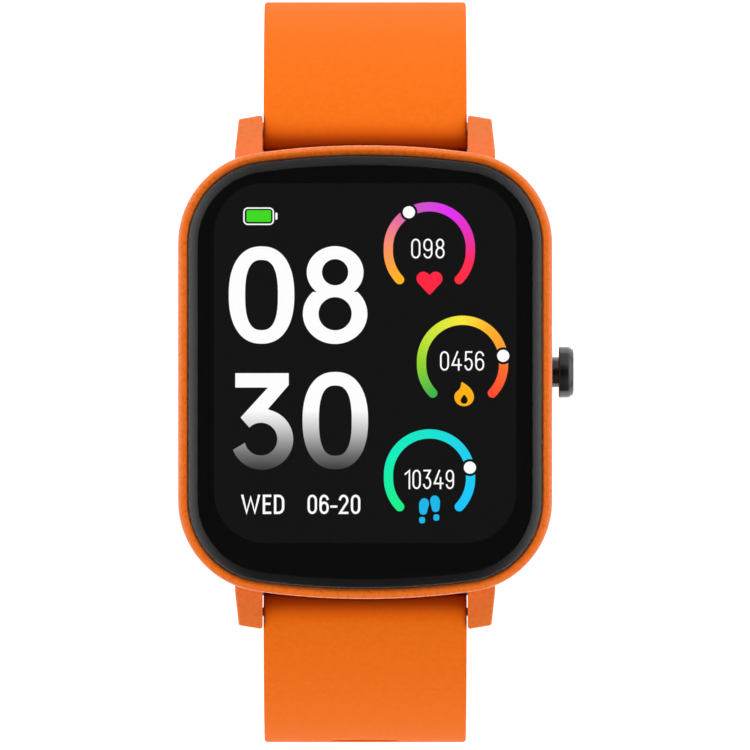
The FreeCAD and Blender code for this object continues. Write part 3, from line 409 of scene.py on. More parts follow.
def flatPiece(name, shapes, material, level="shape"):
    # each shape is a list of closed loops from the window's centre; inner loops are holes
    points, faces = [], []
    z = display["layer"] + display["lifts"][level]
    dx, dy = display["middle"]
    for loops in shapes:
        curve = bpy.data.curves.new("fill", "CURVE")
        curve.dimensions = "2D"
        curve.fill_mode = "BOTH"
        curve.extrude = display["thickness"]
        for loop in loops:
            spline = curve.splines.new("POLY")
            spline.points.add(len(loop) - 1)
            for point, (x, y) in zip(spline.points, loop):
                point.co = (x, y, 0, 1)
            spline.use_cyclic_u = True
        holder = bpy.data.objects.new("fill", curve)
        filled = bpy.data.meshes.new_from_object(holder)
        start = len(points)
        points += [(v.co.x + dx, v.co.y + dy, v.co.z + z) for v in filled.vertices]
        faces += [tuple(start + i for i in p.vertices) for p in filled.polygons]
        bpy.data.objects.remove(holder)
        bpy.data.meshes.remove(filled)
        bpy.data.curves.remove(curve)
    addPiece(name, points, faces, "case", "display", 30, material)


def bow(cx, cy, rx, ry, start, end, steps=14):
    # points along an oval arc, angles in degrees
    turns = [math.radians(start + (end - start) * share) for share in shares(steps)]
    return [(cx + rx * math.cos(a), cy + ry * math.sin(a)) for a in turns]


def squircle(cx, cy, rx, ry, power, steps=96):
    # an oval that a power over 2 makes squarer
    found = []
    for share in shares(steps)[:-1]:
        a = 2 * math.pi * share
        x, y = (math.copysign(abs(part) ** (2 / power), part) for part in (math.cos(a), math.sin(a)))
        found.append((cx + rx * x, cy + ry * y))
    return found


def roundBox(cx, cy, halfX, halfY, radius):
    found = []
    for sx, sy, start in ((1, 1, 0), (-1, 1, 90), (-1, -1, 180), (1, -1, 270)):
        x, y = cx + sx * (halfX - radius), cy + sy * (halfY - radius)
        found += bow(x, y, radius, radius, start, start + 90, 10)
    return found


def strokeLoops(path, width, closed=False, roundEnds=False):
    # the outline of a line of even width: one loop, or two for a closed path
    half = width / 2
    count = len(path)
    left, right = [], []
    for i in range(count):
        here = Vector(path[i])
        before = Vector(path[i - 1]) if closed or i > 0 else None
        after = Vector(path[(i + 1) % count]) if closed or i < count - 1 else None
        first = (here - before).normalized() if before is not None else (after - here).normalized()
        second = (after - here).normalized() if after is not None else first
        middle = (first + second).normalized()
        reach = half / max(0.5, middle.dot(first))
        side = Vector((-middle.y, middle.x)) * reach
        left.append(tuple(here + side))
        right.append(tuple(here - side))
    if closed:
        return [left, right]
    if roundEnds:
        endTurn = math.degrees(math.atan2(left[-1][1] - path[-1][1], left[-1][0] - path[-1][0]))
        startTurn = math.degrees(math.atan2(right[0][1] - path[0][1], right[0][0] - path[0][0]))
        cap = bow(*path[-1], half, half, endTurn, endTurn - 180, 12)[1:-1]
        foot = bow(*path[0], half, half, startTurn, startTurn - 180, 12)[1:-1]
        return [left + cap + right[::-1] + foot]
    return [left + right[::-1]]


# the strokes of each sign in a box one wide and one high: (points, closed)
signs = {
    "0": [(bow(0.5, 0.73, 0.5, 0.27, 180, 0) + bow(0.5, 0.27, 0.5, 0.27, 0, -180), True)],
    "1": [([(0.0, 0.8), (1.0, 1.0), (1.0, 0.0)], False)],
    "2": [(bow(0.5, 0.73, 0.5, 0.27, 165, -28) + [(0.03, 0.0), (1.0, 0.0)], False)],
    "3": [([(0.05, 1.0), (0.93, 1.0), (0.42, 0.6)] + bow(0.48, 0.3, 0.5, 0.3, 80, -160), False)],
    "4": [([(0.6, 1.0), (0.0, 0.27), (1.0, 0.27)], False), ([(0.74, 0.58), (0.74, 0.0)], False)],
    "5": [([(0.93, 1.0), (0.14, 1.0), (0.08, 0.54)] + bow(0.5, 0.31, 0.5, 0.31, 128, -160), False)],
    "6": [
        (bow(0.5, 0.73, 0.5, 0.27, 20, 180) + [(0.0, 0.3)], False),
        (bow(0.5, 0.33, 0.5, 0.27, 180, 0) + bow(0.5, 0.27, 0.5, 0.27, 0, -180), True),
    ],
    "8": [(bow(0.5, 0.77, 0.44, 0.23, 0, 350, 28), True), (bow(0.5, 0.27, 0.5, 0.27, 0, 350, 28), True)],
    "-": [([(-0.35, 0.37), (1.35, 0.37)], False)],
    "W": [([(0.0, 1.0), (0.25, 0.02), (0.5, 0.9), (0.75, 0.02), (1.0, 1.0)], False)],
    "E": [([(1.0, 1.0), (0.0, 1.0), (0.0, 0.0), (1.0, 0.0)], False), ([(0.0, 0.53), (0.86, 0.53)], False)],
    "D": [([(0, 0), (0, 1)] + bow(0.42, 0.68, 0.58, 0.32, 90, 0) + bow(0.42, 0.32, 0.58, 0.32, 0, -90), True)],
}
signs["9"] = [([(1 - x, 1 - y) for x, y in path], closed) for path, closed in signs["6"]]


def lengthened(path, extra):
    # both ends of an open line carried on straight
    ends = []
    for here, inward in ((path[0], path[1]), (path[-1], path[-2])):
        away = (Vector(here) - Vector(inward)).normalized() * extra
        ends.append(tuple(Vector(here) + away))
    return [ends[0]] + path[1:-1] + [ends[1]]


def writtenLine(text, left, bottom, height, line, widths, gap):
    shapes = []
    x = left + line / 2
    for sign, width in zip(text, widths):
        inner = width - line
        for path, closed in signs[sign]:
            placed = [(x + px * inner, bottom + line / 2 + py * (height - line)) for px, py in path]
            if not closed:
                placed = lengthened(placed, line / 2)
            shapes.append(strokeLoops(placed, line, closed))
        x += width + gap
    return shapes


# sign by sign: text, left edge, foot, height, line width, each sign's width, gap
screenText = {
    "pulse": ("098", 4.53, 10.27, 1.95, 0.16, (0.90, 0.90, 0.90), 0.29),
    "energy": ("0456", 7.36, -0.75, 1.91, 0.16, (0.88, 1.02, 0.84, 0.88), 0.24),
    "steps": ("10349", 3.87, -12.39, 1.90, 0.16, (0.56, 0.82, 0.82, 0.97, 0.82), 0.22),
    "day": ("WED", -12.17, -14.84, 1.90, 0.235, (1.85, 0.84, 1.02), 0.26),
    "date": ("06-20", -5.66, -14.84, 1.90, 0.225, (0.93, 0.92, 0.50, 0.95, 0.93), 0.24),
}

timeDigits = {
    "left": -10.18,
    "right": -2.95,
    "hours": 6.68,
    "minutes": -5.66,
    "nought": ((3.22, 4.78, 2.3), (1.61, 3.45, 2.6)),  # half width, half height, squareness
    "eightUpper": (2.24, 2.79, 2.56, 1.29),  # a bowl's height, half width, half height and hole
    "eightLower": (-1.84, 3.17, 2.97, 1.63),
    "eightWaist": 0.30,
    "threeShift": (0.06, -1.85),  # from the digit's place to the bowl's middle
    "threeFlag": [(-2.64, 6.51), (2.61, 6.51), (2.61, 5.35), (0.57, 2.98)],
    "threeOuter": (0, 0, 3.05, 2.98, 76, -160, 60),
    "threeInner": (-0.12, 0.03, 1.61, 1.61, -167, 135, 50),
    "threeReturn": [(-2.12, 2.15), (0.57, 5.10), (-2.64, 5.10)],
    "lastShift": 0.02,
    "fading": [
        (0.0, "#1a1a1a"), (0.124, "#464646"), (0.247, "#6f6f6f"), (0.371, "#9a9a9a"), (0.495, "#c5c5c5"),
        (0.62, "#e8e8e8"), (0.70, "#fdfdfd"),
    ],
}


def nought(x, y):
    return [squircle(x, y, *oval) for oval in timeDigits["nought"]]


def makeTime():
    white = litMaterial("lit_white_digits", display["white"])
    tall = timeDigits["nought"][0][1]
    reach = (timeDigits["minutes"] - tall, timeDigits["minutes"] + tall)
    fading = litMaterial("lit_fading_digits", timeDigits["fading"], reach)

    # eight: two bowls that meet in a waist, and two round holes
    x, y, waist = timeDigits["right"], timeDigits["hours"], timeDigits["eightWaist"]
    upY, upX, upTall, upHole = timeDigits["eightUpper"]
    lowY, lowX, lowTall, lowHole = timeDigits["eightLower"]
    a = math.degrees(math.asin((waist - upY) / upTall))
    b = math.degrees(math.asin((waist - lowY) / lowTall))
    outline = bow(x, y + upY, upX, upTall, a, 180 - a, 60)
    outline += bow(x, y + lowY, lowX, lowTall, 180 - b, 360 + b, 60)
    holes = [bow(x, y + up, hole, hole, 0, 352, 44) for up, hole in ((upY, upHole), (lowY, lowHole))]
    flatPiece("hour_digits", [nought(timeDigits["left"], y), [outline] + holes], white)

    # three: a flat bar, a slanted stroke and an open bowl
    x, y = timeDigits["left"] + timeDigits["threeShift"][0], timeDigits["minutes"] + timeDigits["threeShift"][1]
    three = timeDigits["threeFlag"] + bow(*timeDigits["threeOuter"])
    three += bow(*timeDigits["threeInner"]) + timeDigits["threeReturn"]
    placed = [(x + px, y + py) for px, py in three]
    last = nought(timeDigits["right"] + timeDigits["lastShift"], timeDigits["minutes"])
    flatPiece("minute_digits", [[placed], last], fading)
    small = []
    for key in screenText:
        small += writtenLine(*screenText[key])
    flatPiece("small_digits", small, white)
    print("digits are lit")
    return white


gauges = {
    "radius": 4.033,
    "line": 0.91,
    "open": 43.5,  # degrees below level where the ring ends
    "drop": 0.35,  # the sides run straight for this far before the ring closes in
    "knob": 0.60,
    "knobGap": 0.84,
    "pulse": {
        "centre": (6.312, 11.319), "knobAt": 119.9,
        "tones": [(0.12, "#ffb41e"), (0.22, "#ff9a4e"), (0.33, "#f07a90"), (0.43, "#c85bb8"),
                  (0.58, "#e22ff7"), (0.72, "#e832a0"), (0.80, "#ff2b55"), (0.88, "#ff2d3c")],
    },
    "energy": {
        "centre": (9.571, 0.165), "knobAt": 7.7,
        "tones": [(0.12, "#3fb54a"), (0.24, "#8fd42f"), (0.36, "#c8e63a"), (0.50, "#f8e83a"),
                  (0.60, "#ffb52e"), (0.70, "#ff9a2e"), (0.78, "#ff6a2e"), (0.88, "#ff4a2e")],
    },
    "steps": {
        "centre": (6.326, -10.999), "knobAt": 10.3,
        "tones": [(0.12, "#18f08a"), (0.30, "#12eeb5"), (0.50, "#16e4cf"), (0.65, "#1fd0ec"),
                  (0.88, "#18c4ff")],
    },
}


def makeGauges(white):
    black = litMaterial("unlit_ring_gap", display["black"])
    for name in ("pulse", "energy", "steps"):
        gauge = gauges[name]
        cx, cy = gauge["centre"]
        radius, low = gauges["radius"], gauges["open"]
        lower = cy - gauges["drop"]
        path = bow(cx, lower, radius, radius, 180 + low, 180, 16) + bow(cx, cy, radius, radius, 180, 0, 64)
        path += bow(cx, lower, radius, radius, 0, -low, 16)
        middle = (cx + display["middle"][0], cy + display["middle"][1])
        lit = litMaterial("lit_" + name + "_ring", gauge["tones"], "turn", middle)
        flatPiece(name + "_ring", [strokeLoops(path, gauges["line"], False, True)], lit)
        turn = math.radians(gauge["knobAt"])
        kx, ky = cx + radius * math.cos(turn), cy + radius * math.sin(turn)
        for part, level, shade in (("_knob_gap", "knobGap", black), ("_knob", "knob", white)):
            size = gauges[level]
            flatPiece(name + part, [[bow(kx, ky, size, size, 0, 350, 35)]], shade, level)
    print("rings are lit")


def softened(loop, rounds=2):
    # rounds the corners of a closed loop by cutting them
    for _ in range(rounds):
        cut = []
        for i in range(len(loop)):
            (ax, ay), (bx, by) = loop[i], loop[(i + 1) % len(loop)]
            for share in (0.25, 0.75):
                cut.append((ax * (1 - share) + bx * share, ay * (1 - share) + by * share))
        loop = cut
    return loop


def moved(loop, x, y, turn=0.0):
    a = math.radians(turn)
    c, s = math.cos(a), math.sin(a)
    return [(x + px * c - py * s, y + px * s + py * c) for px, py in loop]


symbols = {
    "heartAt": (6.33, 7.84),
    "heartLobe": (0.60, 0.46, 0.68, 0.68, 158, -40, 20),
    "heartPoint": [(0.12, -1.06), (0.0, -1.15), (-0.12, -1.06)],
    "flameAt": (9.728, -3.035),
    "flame": [
        (-0.27, 1.2), (0.1, 1.0), (0.55, 0.64), (0.86, 0.2), (0.99, -0.28), (0.88, -0.75), (0.5, -1.12),
        (0, -1.24), (-0.5, -1.12), (-0.88, -0.75), (-0.99, -0.25), (-0.86, 0.12), (-0.56, 0.36),
        (-0.36, 0.62), (-0.3, 0.95),
    ],
    "flameHole": [
        (0.02, -0.02), (0.26, -0.34), (0.38, -0.62), (0.24, -0.92), (0.0, -0.99), (-0.26, -0.92),
        (-0.38, -0.62), (-0.2, -0.3),
    ],
    "sole": [
        (-0.34, -0.78), (0.30, -0.78), (0.40, -0.1), (0.50, 0.4), (0.26, 0.84), (-0.24, 0.84),
        (-0.52, 0.4), (-0.48, -0.1),
    ],
    "heel": (0, 0, 0.29, 0.31, 3.2, 32),
    # each sole's place, turn and hand, and its heel's place
    "feet": [(5.78, -14.13, -5, 1, 5.60, -15.44), (6.87, -13.86, 4, -1, 7.00, -15.18)],
    # middle, half sizes and corner radius
    "cell": [(-10.465, 14.425, 1.51, 0.865, 0.45), (-10.465, 14.425, 1.375, 0.73, 0.32)],
    "cellTip": (-8.72, 14.43, 0.11, 0.35, 0.10),
    "cellLevel": (-10.45, 14.44, 1.21, 0.58, 0.16),
}


def makeSymbols(white):
    red = litMaterial("lit_red_heart", "#ff2640")
    amber = litMaterial("lit_amber_flame", "#ffb011")
    blue = litMaterial("lit_blue_soles", "#1bb6e8")
    green = litMaterial("lit_green_charge", "#3ed921")
    lobe = bow(*symbols["heartLobe"])
    heart = lobe + symbols["heartPoint"] + [(-x, y) for x, y in lobe[::-1]]
    flatPiece("heart_symbol", [[moved(heart, *symbols["heartAt"])]], red)
    flame = [moved(softened(symbols[key]), *symbols["flameAt"]) for key in ("flame", "flameHole")]
    flatPiece("flame_symbol", [flame], amber)
    soles = []
    for x, y, turn, hand, heelX, heelY in symbols["feet"]:
        soles.append([moved(softened([(hand * px, py) for px, py in symbols["sole"]]), x, y, turn)])
        soles.append([moved(squircle(*symbols["heel"]), heelX, heelY)])
    flatPiece("sole_symbols", soles, blue)
    cell = [roundBox(*box) for box in symbols["cell"]]
    flatPiece("charge_outline", [cell, [roundBox(*symbols["cellTip"])]], white)
    flatPiece("charge_level", [[roundBox(*symbols["cellLevel"])]], green)
    print("symbols are lit")


def makeDisplay():
    # the window glows a little even where it shows black
    dark = litMaterial("lit_black_background", display["black"])
    flatPiece("display_background", [[roundBox(0, 0, *display["half"], display["corner"])]], dark, "background")
    white = makeTime()
    makeGauges(white)
    makeSymbols(white)


makeDisplay()

# Straps: bands that follow the wrist, with an eye round each spring bar
strap = {
    "half": 10.0,
    "thickness": 2.4,
    "radius": 35.6,
    "hub": 1.8,
    "edge": 0.28,
    "heelFace": 22.05,
    "heelTop": 2.3,
    "heelLow": 0.9,
    "heelSweep": 6.0,
    "heelTurn": 205,  # degrees round the spring bar, where the eye leaves the heel
    "heelShare": 0.62,  # how much of the root's underside lies under the eye
    "rowStep": 0.8,
    "edgeTurns": (22.5, 45, 67.5, 90),
    "upperLength": 78.0,
    "lowerLength": 115.0,
    "lowerDrop": 24.0,
    "lowerBend": 28.0,
    "tailCorner": 7.0,
    "tailStep": 0.9,
    "lowerColumns": [8.2, 6.6],  # rows of points along the band, from its edge inward
    "upperColumns": [8.0, 6.0, 4.4],
    "windowColumns": [-1.5, 0.0, 1.5],
    "slotFirst": 26.6,
    "slotPitch": 7.0,
    "slotCount": 9,
    "slotHalf": (1.2, 3.3),
    "slotLip": 0.25,
    "slotRows": 10,
    "slotRing": 0.55,  # where a ring of points goes between a slot and its cell's border
    "pinEye": 1.9,
    "pinEnd": 168,  # degrees round the pin, where the strap ends
    "tongueHalf": 3.1,
    "tongueStart": 75.8,
}
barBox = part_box("upper_bar_tube")
barY = (barBox[0].y + barBox[1].y) / 2 / mm
barZ = (barBox[0].z + barBox[1].z) / 2 / mm
ringRadius = strap["radius"] + strap["thickness"] / 2 - strap["hub"]
wristZ = barZ - math.sqrt(ringRadius**2 - barY**2)
rootAngle = math.asin(barY / ringRadius)


def upperPath(u):
    # the middle of the short strap at length u, and the direction that faces out
    a = rootAngle + u / strap["radius"]
    out = Vector((math.sin(a), math.cos(a)))
    return Vector((0, wristZ)) + out * strap["radius"], out


def lowerPath(u):
    radius, bend = strap["radius"], strap["lowerBend"]
    first = radius * (math.pi / 2 - rootAngle)
    second = first + strap["lowerDrop"]
    third = second + bend * math.pi / 2
    bendY, bendZ = bend - radius, wristZ - strap["lowerDrop"]
    if u < first:
        a = rootAngle + u / radius
        out = Vector((-math.sin(a), math.cos(a)))
        return Vector((0, wristZ)) + out * radius, out
    if u < second:
        return Vector((-radius, wristZ - (u - first))), Vector((-1, 0))
    if u < third:
        a = math.pi / 2 + (u - second) / bend
        out = Vector((-math.sin(a), math.cos(a)))
        return Vector((bendY, bendZ)) + out * bend, out
    return Vector((bendY + u - third, bendZ - bend)), Vector((0, -1))


def rootRows(side):
    # from the heel's face on the case, over the spring bar, to where the plain band starts
    half = strap["thickness"] / 2
    face, low = strap["heelFace"], strap["heelLow"]
    rows = [((face, strap["heelTop"]), (face, low))]
    sweep = math.radians(strap["heelSweep"])
    inner = strap["radius"] - half
    meet = (inner * math.sin(rootAngle + sweep), wristZ + inner * math.cos(rootAngle + sweep))

    def under(share):
        return (face + (meet[0] - face) * share, low + (meet[1] - low) * share)

    start = math.radians(strap["heelTurn"])
    stop = math.pi / 2 - rootAngle
    arc = [start + (stop - start) * share for share in shares(12)]
    for a, share in zip(arc, shares(len(arc), 1)):
        outer = (barY + strap["hub"] * math.cos(a), barZ + strap["hub"] * math.sin(a))
        rows.append((outer, under(strap["heelShare"] * share)))
    run = strap["radius"] * sweep
    for share in shares(5, 1):
        middle, out = upperPath(run * share)
        rows.append((tuple(middle + out * half), under(strap["heelShare"] + (1 - strap["heelShare"]) * share)))
    return [[Vector((side * y, z)) for y, z in row] + [strap["half"]] for row in rows], run


def bandRow(path, u, halfWidth=None, half=None):
    # the outer and the inner face's line across the band at length u, and half the width there
    middle, out = path(u)
    half = strap["thickness"] / 2 if half is None else half
    return (middle + out * half, middle - out * half, strap["half"] if halfWidth is None else halfWidth)


def bandRing(row, spots, edge):
    # one closed section across the band: the outer face, a rounded side, the inner face, the other side
    outer, inner, halfWidth = row
    deep = (inner - outer).length
    down = (inner - outer) / deep
    edge = min(edge, deep / 2.2)  # a little flat always stays between the two rounded edges
    flat = halfWidth - edge
    scale = flat / (strap["half"] - strap["edge"])
    face = [(s * scale, 0.0) for s in spots]
    turns = [math.radians(a) for a in strap["edgeTurns"]]
    side = [(flat + edge * math.sin(a), edge * (1 - math.cos(a))) for a in turns]
    side += [(v, deep - d) for v, d in side[::-1]]
    under = [(v, deep) for v, d in face[::-1]]
    loop = face + side + under + [(-v, d) for v, d in side[::-1]]
    return [(v, outer.x + down.x * d, outer.y + down.y * d) for v, d in loop]


def slotPatch(path, middleU, columns, cell, rowsPerCell):
    # one slot with rounded lips: rings of quads from the cell's border through to the other face
    halfU, halfV = strap["slotHalf"]
    reach = halfV - halfU
    lip = strap["slotLip"]
    half = strap["thickness"] / 2
    wide = columns[-1]
    us = [-cell / 2 + cell * share for share in shares(rowsPerCell)]
    border = [(us[0], v) for v in columns] + [(u, wide) for u in us[1:]]
    border += [(us[-1], v) for v in columns[-2::-1]] + [(u, -wide) for u in us[-2:0:-1]]
    turns = [math.radians(a) for a in (0, 30, 60, 90)]
    levels = [(None, 0.0, 0.0), (None, strap["slotRing"], 0.0)]
    levels += [(lip * (1 - math.sin(a)), 1.0, lip * (1 - math.cos(a))) for a in turns]
    levels += [(gap, share, 2 * half - depth) for gap, share, depth in levels[::-1]]
    rings = []
    for gap, share, depth in levels:
        ring = []
        for bu, bv in border:
            core = bv * reach / wide
            away = Vector((bu, bv - core)).normalized()
            edge = lip if gap is None else gap
            tu, tv = away.x * (halfU + edge), core + away.y * (halfU + edge)
            u = bu + (tu - bu) * share
            v = bv + (tv - bv) * share
            middle, out = path(middleU + u)
            at = middle + out * (half - depth)
            ring.append((v, at.x, at.y))
        rings.append(ring)
    return joinRings(rings, caps=False)


def makeBand(name, body, node, rows, spots, patches, isOpen):
    # isOpen says which squares of the band's own grid, by row and column, are left out
    rings = [bandRing(row, spots, strap["edge"]) for row in rows]
    points, faces = joinRings(rings, caps=False)
    n, wide = len(rings[0]), len(spots)
    # a column's place on the inner face is this less its place on the outer
    turn = 2 * (wide + len(strap["edgeTurns"])) - 1
    kept = []
    for face in faces:
        i, j = face[0] // n, face[0] % n
        onOuter, onInner = j < wide - 1, turn - wide < j < turn
        if (onOuter or onInner) and isOpen(i, j if onOuter else turn - 1 - j):
            continue
        kept.append(face)
    for i in (0, len(rings) - 1):
        base = i * n
        shut = [j for j in range(wide - 1) if not isOpen(i, j)]
        kept += [(base + j, base + j + 1, base + turn - j - 1, base + turn - j) for j in shut]
        kept.append(tuple(base + j for j in range(wide - 1, turn - wide + 2)))
        kept.append(tuple(base + j for j in range(turn, n)) + (base,))
    for morePoints, moreFaces in patches:
        start = len(points)
        points += morePoints
        kept += [tuple(start + k for k in face) for face in moreFaces]
    addPiece(name, points, kept, body, "orange_silicone", 40, node=node)


def makeLowerStrap():
    columns = [-5.0 + k for k in range(11)]
    edge, side = strap["edge"], strap["lowerColumns"]
    flat = strap["half"] - edge
    spots = [-flat] + [-v for v in side] + columns + side[::-1] + [flat]
    rows, u = rootRows(-1)
    perCell, pitch = strap["slotRows"], strap["slotPitch"]
    firstCell = strap["slotFirst"] - pitch / 2
    count = round((firstCell - u) / strap["rowStep"])
    rows += [bandRow(lowerPath, u + (firstCell - u) * share) for share in shares(count, 1)[:-1]]
    slotStart = len(rows)
    slotEnd = slotStart + perCell * strap["slotCount"]
    rows += [bandRow(lowerPath, firstCell + pitch * k / perCell) for k in range(slotEnd - slotStart + 1)]
    lastCell = firstCell + pitch * strap["slotCount"]
    length, corner = strap["lowerLength"], strap["tailCorner"]
    count = round((length - corner - lastCell) / strap["tailStep"])
    rows += [bandRow(lowerPath, lastCell + (length - corner - lastCell) * share) for share in shares(count, 1)]
    tailHalf = strap["half"] - corner + edge
    for share in shares(16, 1):
        a = math.radians(90 * share)
        tipU = length - corner + (corner - edge) * math.sin(a)
        rows.append(bandRow(lowerPath, tipU, tailHalf + (corner - edge) * math.cos(a)))
    for a in (30, 60, 90):
        turn = math.radians(a)
        half = strap["thickness"] / 2 - edge * (1 - math.cos(turn))
        rows.append(bandRow(lowerPath, length - edge + edge * math.sin(turn), tailHalf, half))
    patches = [
        slotPatch(lowerPath, strap["slotFirst"] + k * pitch, columns, pitch, perCell)
        for k in range(strap["slotCount"])
    ]
    left, right = spots.index(columns[0]), spots.index(columns[-1])
    makeBand(
        "lower_strap_band", "lower_strap", "lower_strap", rows, spots, patches,
        lambda i, j: slotStart <= i < slotEnd and left <= j < right,
    )


def makeUpperStrap():
    flat, side = strap["half"] - strap["edge"], strap["upperColumns"]
    tongue = strap["tongueHalf"]
    spots = [-flat] + [-v for v in side] + [-tongue] + strap["windowColumns"]
    spots += [tongue] + side[::-1] + [flat]
    rows, u = rootRows(1)
    start = strap["tongueStart"]
    count = round((start - u) / strap["rowStep"])
    rows += [bandRow(upperPath, u + (start - u) * share) for share in shares(count, 1)]
    gapRow = len(rows) - 1
    length, eye = strap["upperLength"], strap["pinEye"]
    first = math.asin(strap["thickness"] / 2 / eye)
    for share in shares(16):
        a = first + (math.radians(strap["pinEnd"]) - first) * share
        rows.append(bandRow(upperPath, length - eye * math.cos(a), half=eye * math.sin(a)))
    # walls of the gap that the tongue turns in
    walls = []
    for side in (-1, 1):
        points = []
        for outer, inner, _ in rows[gapRow:]:
            points += [(side * tongue, outer.x, outer.y), (side * tongue, inner.x, inner.y)]
        walls.append((points, [(2 * k, 2 * k + 1, 2 * k + 3, 2 * k + 2) for k in range(len(points) // 2 - 1)]))
    outer, inner, _ = rows[gapRow]
    cross = [s for s in spots if abs(s) <= tongue]
    points = [(s, p.x, p.y) for s in cross for p in (outer, inner)]
    walls.append((points, [(2 * k, 2 * k + 1, 2 * k + 3, 2 * k + 2) for k in range(len(cross) - 1)]))
    left, right = spots.index(-tongue), spots.index(tongue)
    makeBand(
        "upper_strap_band", "upper_strap", "upper_strap", rows, spots, walls,
        lambda i, j: i >= gapRow and left <= j < right,
    )


makeLowerStrap()
makeUpperStrap()
print("straps are on")

keepers = {
    "length": 6.0,
    "wall": 1.1,
    "round": 1.0,
    "gap": 0.25,
    "edge": 0.35,
    "holeCorner": 0.12,
    "middleRows": (-0.45, 0, 0.45),  # as shares of half the length
    "fixed": 71.0,
    "free": 64.5,
}


def keeperLoop(sideways, low, high, radius, u):
    # a round-cornered loop across the strap at length u
    middle, out = upperPath(u)
    loop = roundBox(0, (low + high) / 2, sideways, (high - low) / 2, radius)
    return [(v, middle.x + out.x * w, middle.y + out.y * w) for v, w in loop]


def makeKeeper(name, body, node, place, gap):
    half = strap["thickness"] / 2
    wall, edge, reach = keepers["wall"], keepers["edge"], keepers["length"] / 2
    sideways = strap["half"] + gap
    low, high = -half - gap, half + strap["thickness"] + keepers["gap"]
    across = []
    for share in shares(5):
        a = math.radians(90 * share)
        across.append((reach - edge + edge * math.sin(a), edge * (1 - math.cos(a))))
    middle = [(reach * share, 0.0) for share in keepers["middleRows"]]
    across = [(-u, inset) for u, inset in across[::-1]] + middle + across
    rings = []
    for u, inset in across:
        grow = wall - inset
        rings.append(keeperLoop(sideways + grow, low - grow, high + grow, keepers["round"], place + u))
    for u, inset in across[::-1]:
        # the hole's own edges are rounded too
        corner = keepers["holeCorner"] + inset
        rings.append(keeperLoop(sideways + inset, low - inset, high + inset, corner, place + u))
    addPiece(name, *joinRings(rings, looped=True), body, "orange_silicone", 50, node=node)


makeKeeper("fixed_keeper_loop", "upper_strap", "fixed_keeper", keepers["fixed"], 0.0)
makeKeeper("free_keeper_loop", "free_keeper", "free_keeper", keepers["free"], keepers["gap"])
print("keepers are on")

# The buckle is drawn along the strap from the pin, and then put at the pin
buckle = {
    "armMiddle": 11.25,
    "armHalf": 0.85,
    "endHalf": 1.35,
    "barHalf": 1.05,
    "reach": 9.6,
    "corner": 1.7,
    "endShare": 0.55,  # the arm's width at its very end
    "endThin": 0.12,
    "squareness": 2.7,
    "sides": 40,
    "tongueHalf": 2.7,
    "tongueEye": 1.5,
    "tongueRest": 1.10,
    "tongueThick": 0.95,
    "tongueEnd": 10.7,
    "tongueStraight": 8.0,
    "tongueTip": 1.6,
    "tongueEdge": 0.22,
    "tipDrop": 0.4,
    # along the strap and below the pin's middle, where the eye's underside turns into the blade's
    "tongueUnder": [
        (0.35, -1.46), (0.7, -1.33), (1.0, -1.12), (1.25, -0.83), (1.42, -0.45), (1.5, 0.0),
        (1.6, 0.45), (1.9, 0.6),
    ],
}
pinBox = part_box("buckle_pin")
pinAt = Vector(((pinBox[0].y + pinBox[1].y) / 2, (pinBox[0].z + pinBox[1].z) / 2)) / mm
pinOut = upperPath(strap["upperLength"])[1]
pinAlong = Vector((pinOut.y, -pinOut.x))


def atPin(x, along, out):
    at = pinAt + pinAlong * along + pinOut * out
    return (x, at.x, at.y)


def makeBuckleFrame():
    middle, reach, corner = buckle["armMiddle"], buckle["reach"], buckle["corner"]
    endHalf, barHalf, armHalf = buckle["endHalf"], buckle["barHalf"], buckle["armHalf"]
    least, sides = buckle["endShare"], buckle["sides"]
    path = []  # (x, along, half in plane, half height, direction)
    for share in shares(8):
        a = math.radians(90 * (1 - share))
        wide = armHalf * (least + (1 - least) * math.cos(a))
        high = endHalf * max(buckle["endThin"], math.cos(a))
        path.append((middle, -endHalf * math.sin(a) * 0.999, wide, high, 90))
    for share in shares(14, 1):
        path.append((middle, (reach - corner) * share, armHalf, endHalf + (barHalf - endHalf) * share, 90))
    for share in shares(12, 1):
        a = math.radians(90 * share)
        x, y = middle - corner + corner * math.cos(a), reach - corner + corner * math.sin(a)
        path.append((x, y, armHalf + (barHalf - armHalf) * share, barHalf, 90 + 90 * share))
    path += [((middle - corner) * (1 - share), reach, barHalf, barHalf, 180) for share in shares(10, 1)]
    rings = []
    for x, y, wide, high, turn in path:
        a = math.radians(turn - 90)
        section = squircle(0, 0, wide, high, buckle["squareness"], sides)
        rings.append([atPin(x + math.cos(a) * p, y + math.sin(a) * p, q) for p, q in section])
    # the other half is the mirror image, with its points counted the other way round
    mirrored = []
    for ring in rings[-2::-1]:
        flipped = [(-x, y, z) for x, y, z in ring]
        mirrored.append([flipped[(sides // 2 - k) % sides] for k in range(sides)])
    addPiece(
        "buckle_frame_bow", *joinRings(rings + mirrored), "buckle_frame", "gunmetal", 40, node="buckle_frame"
    )


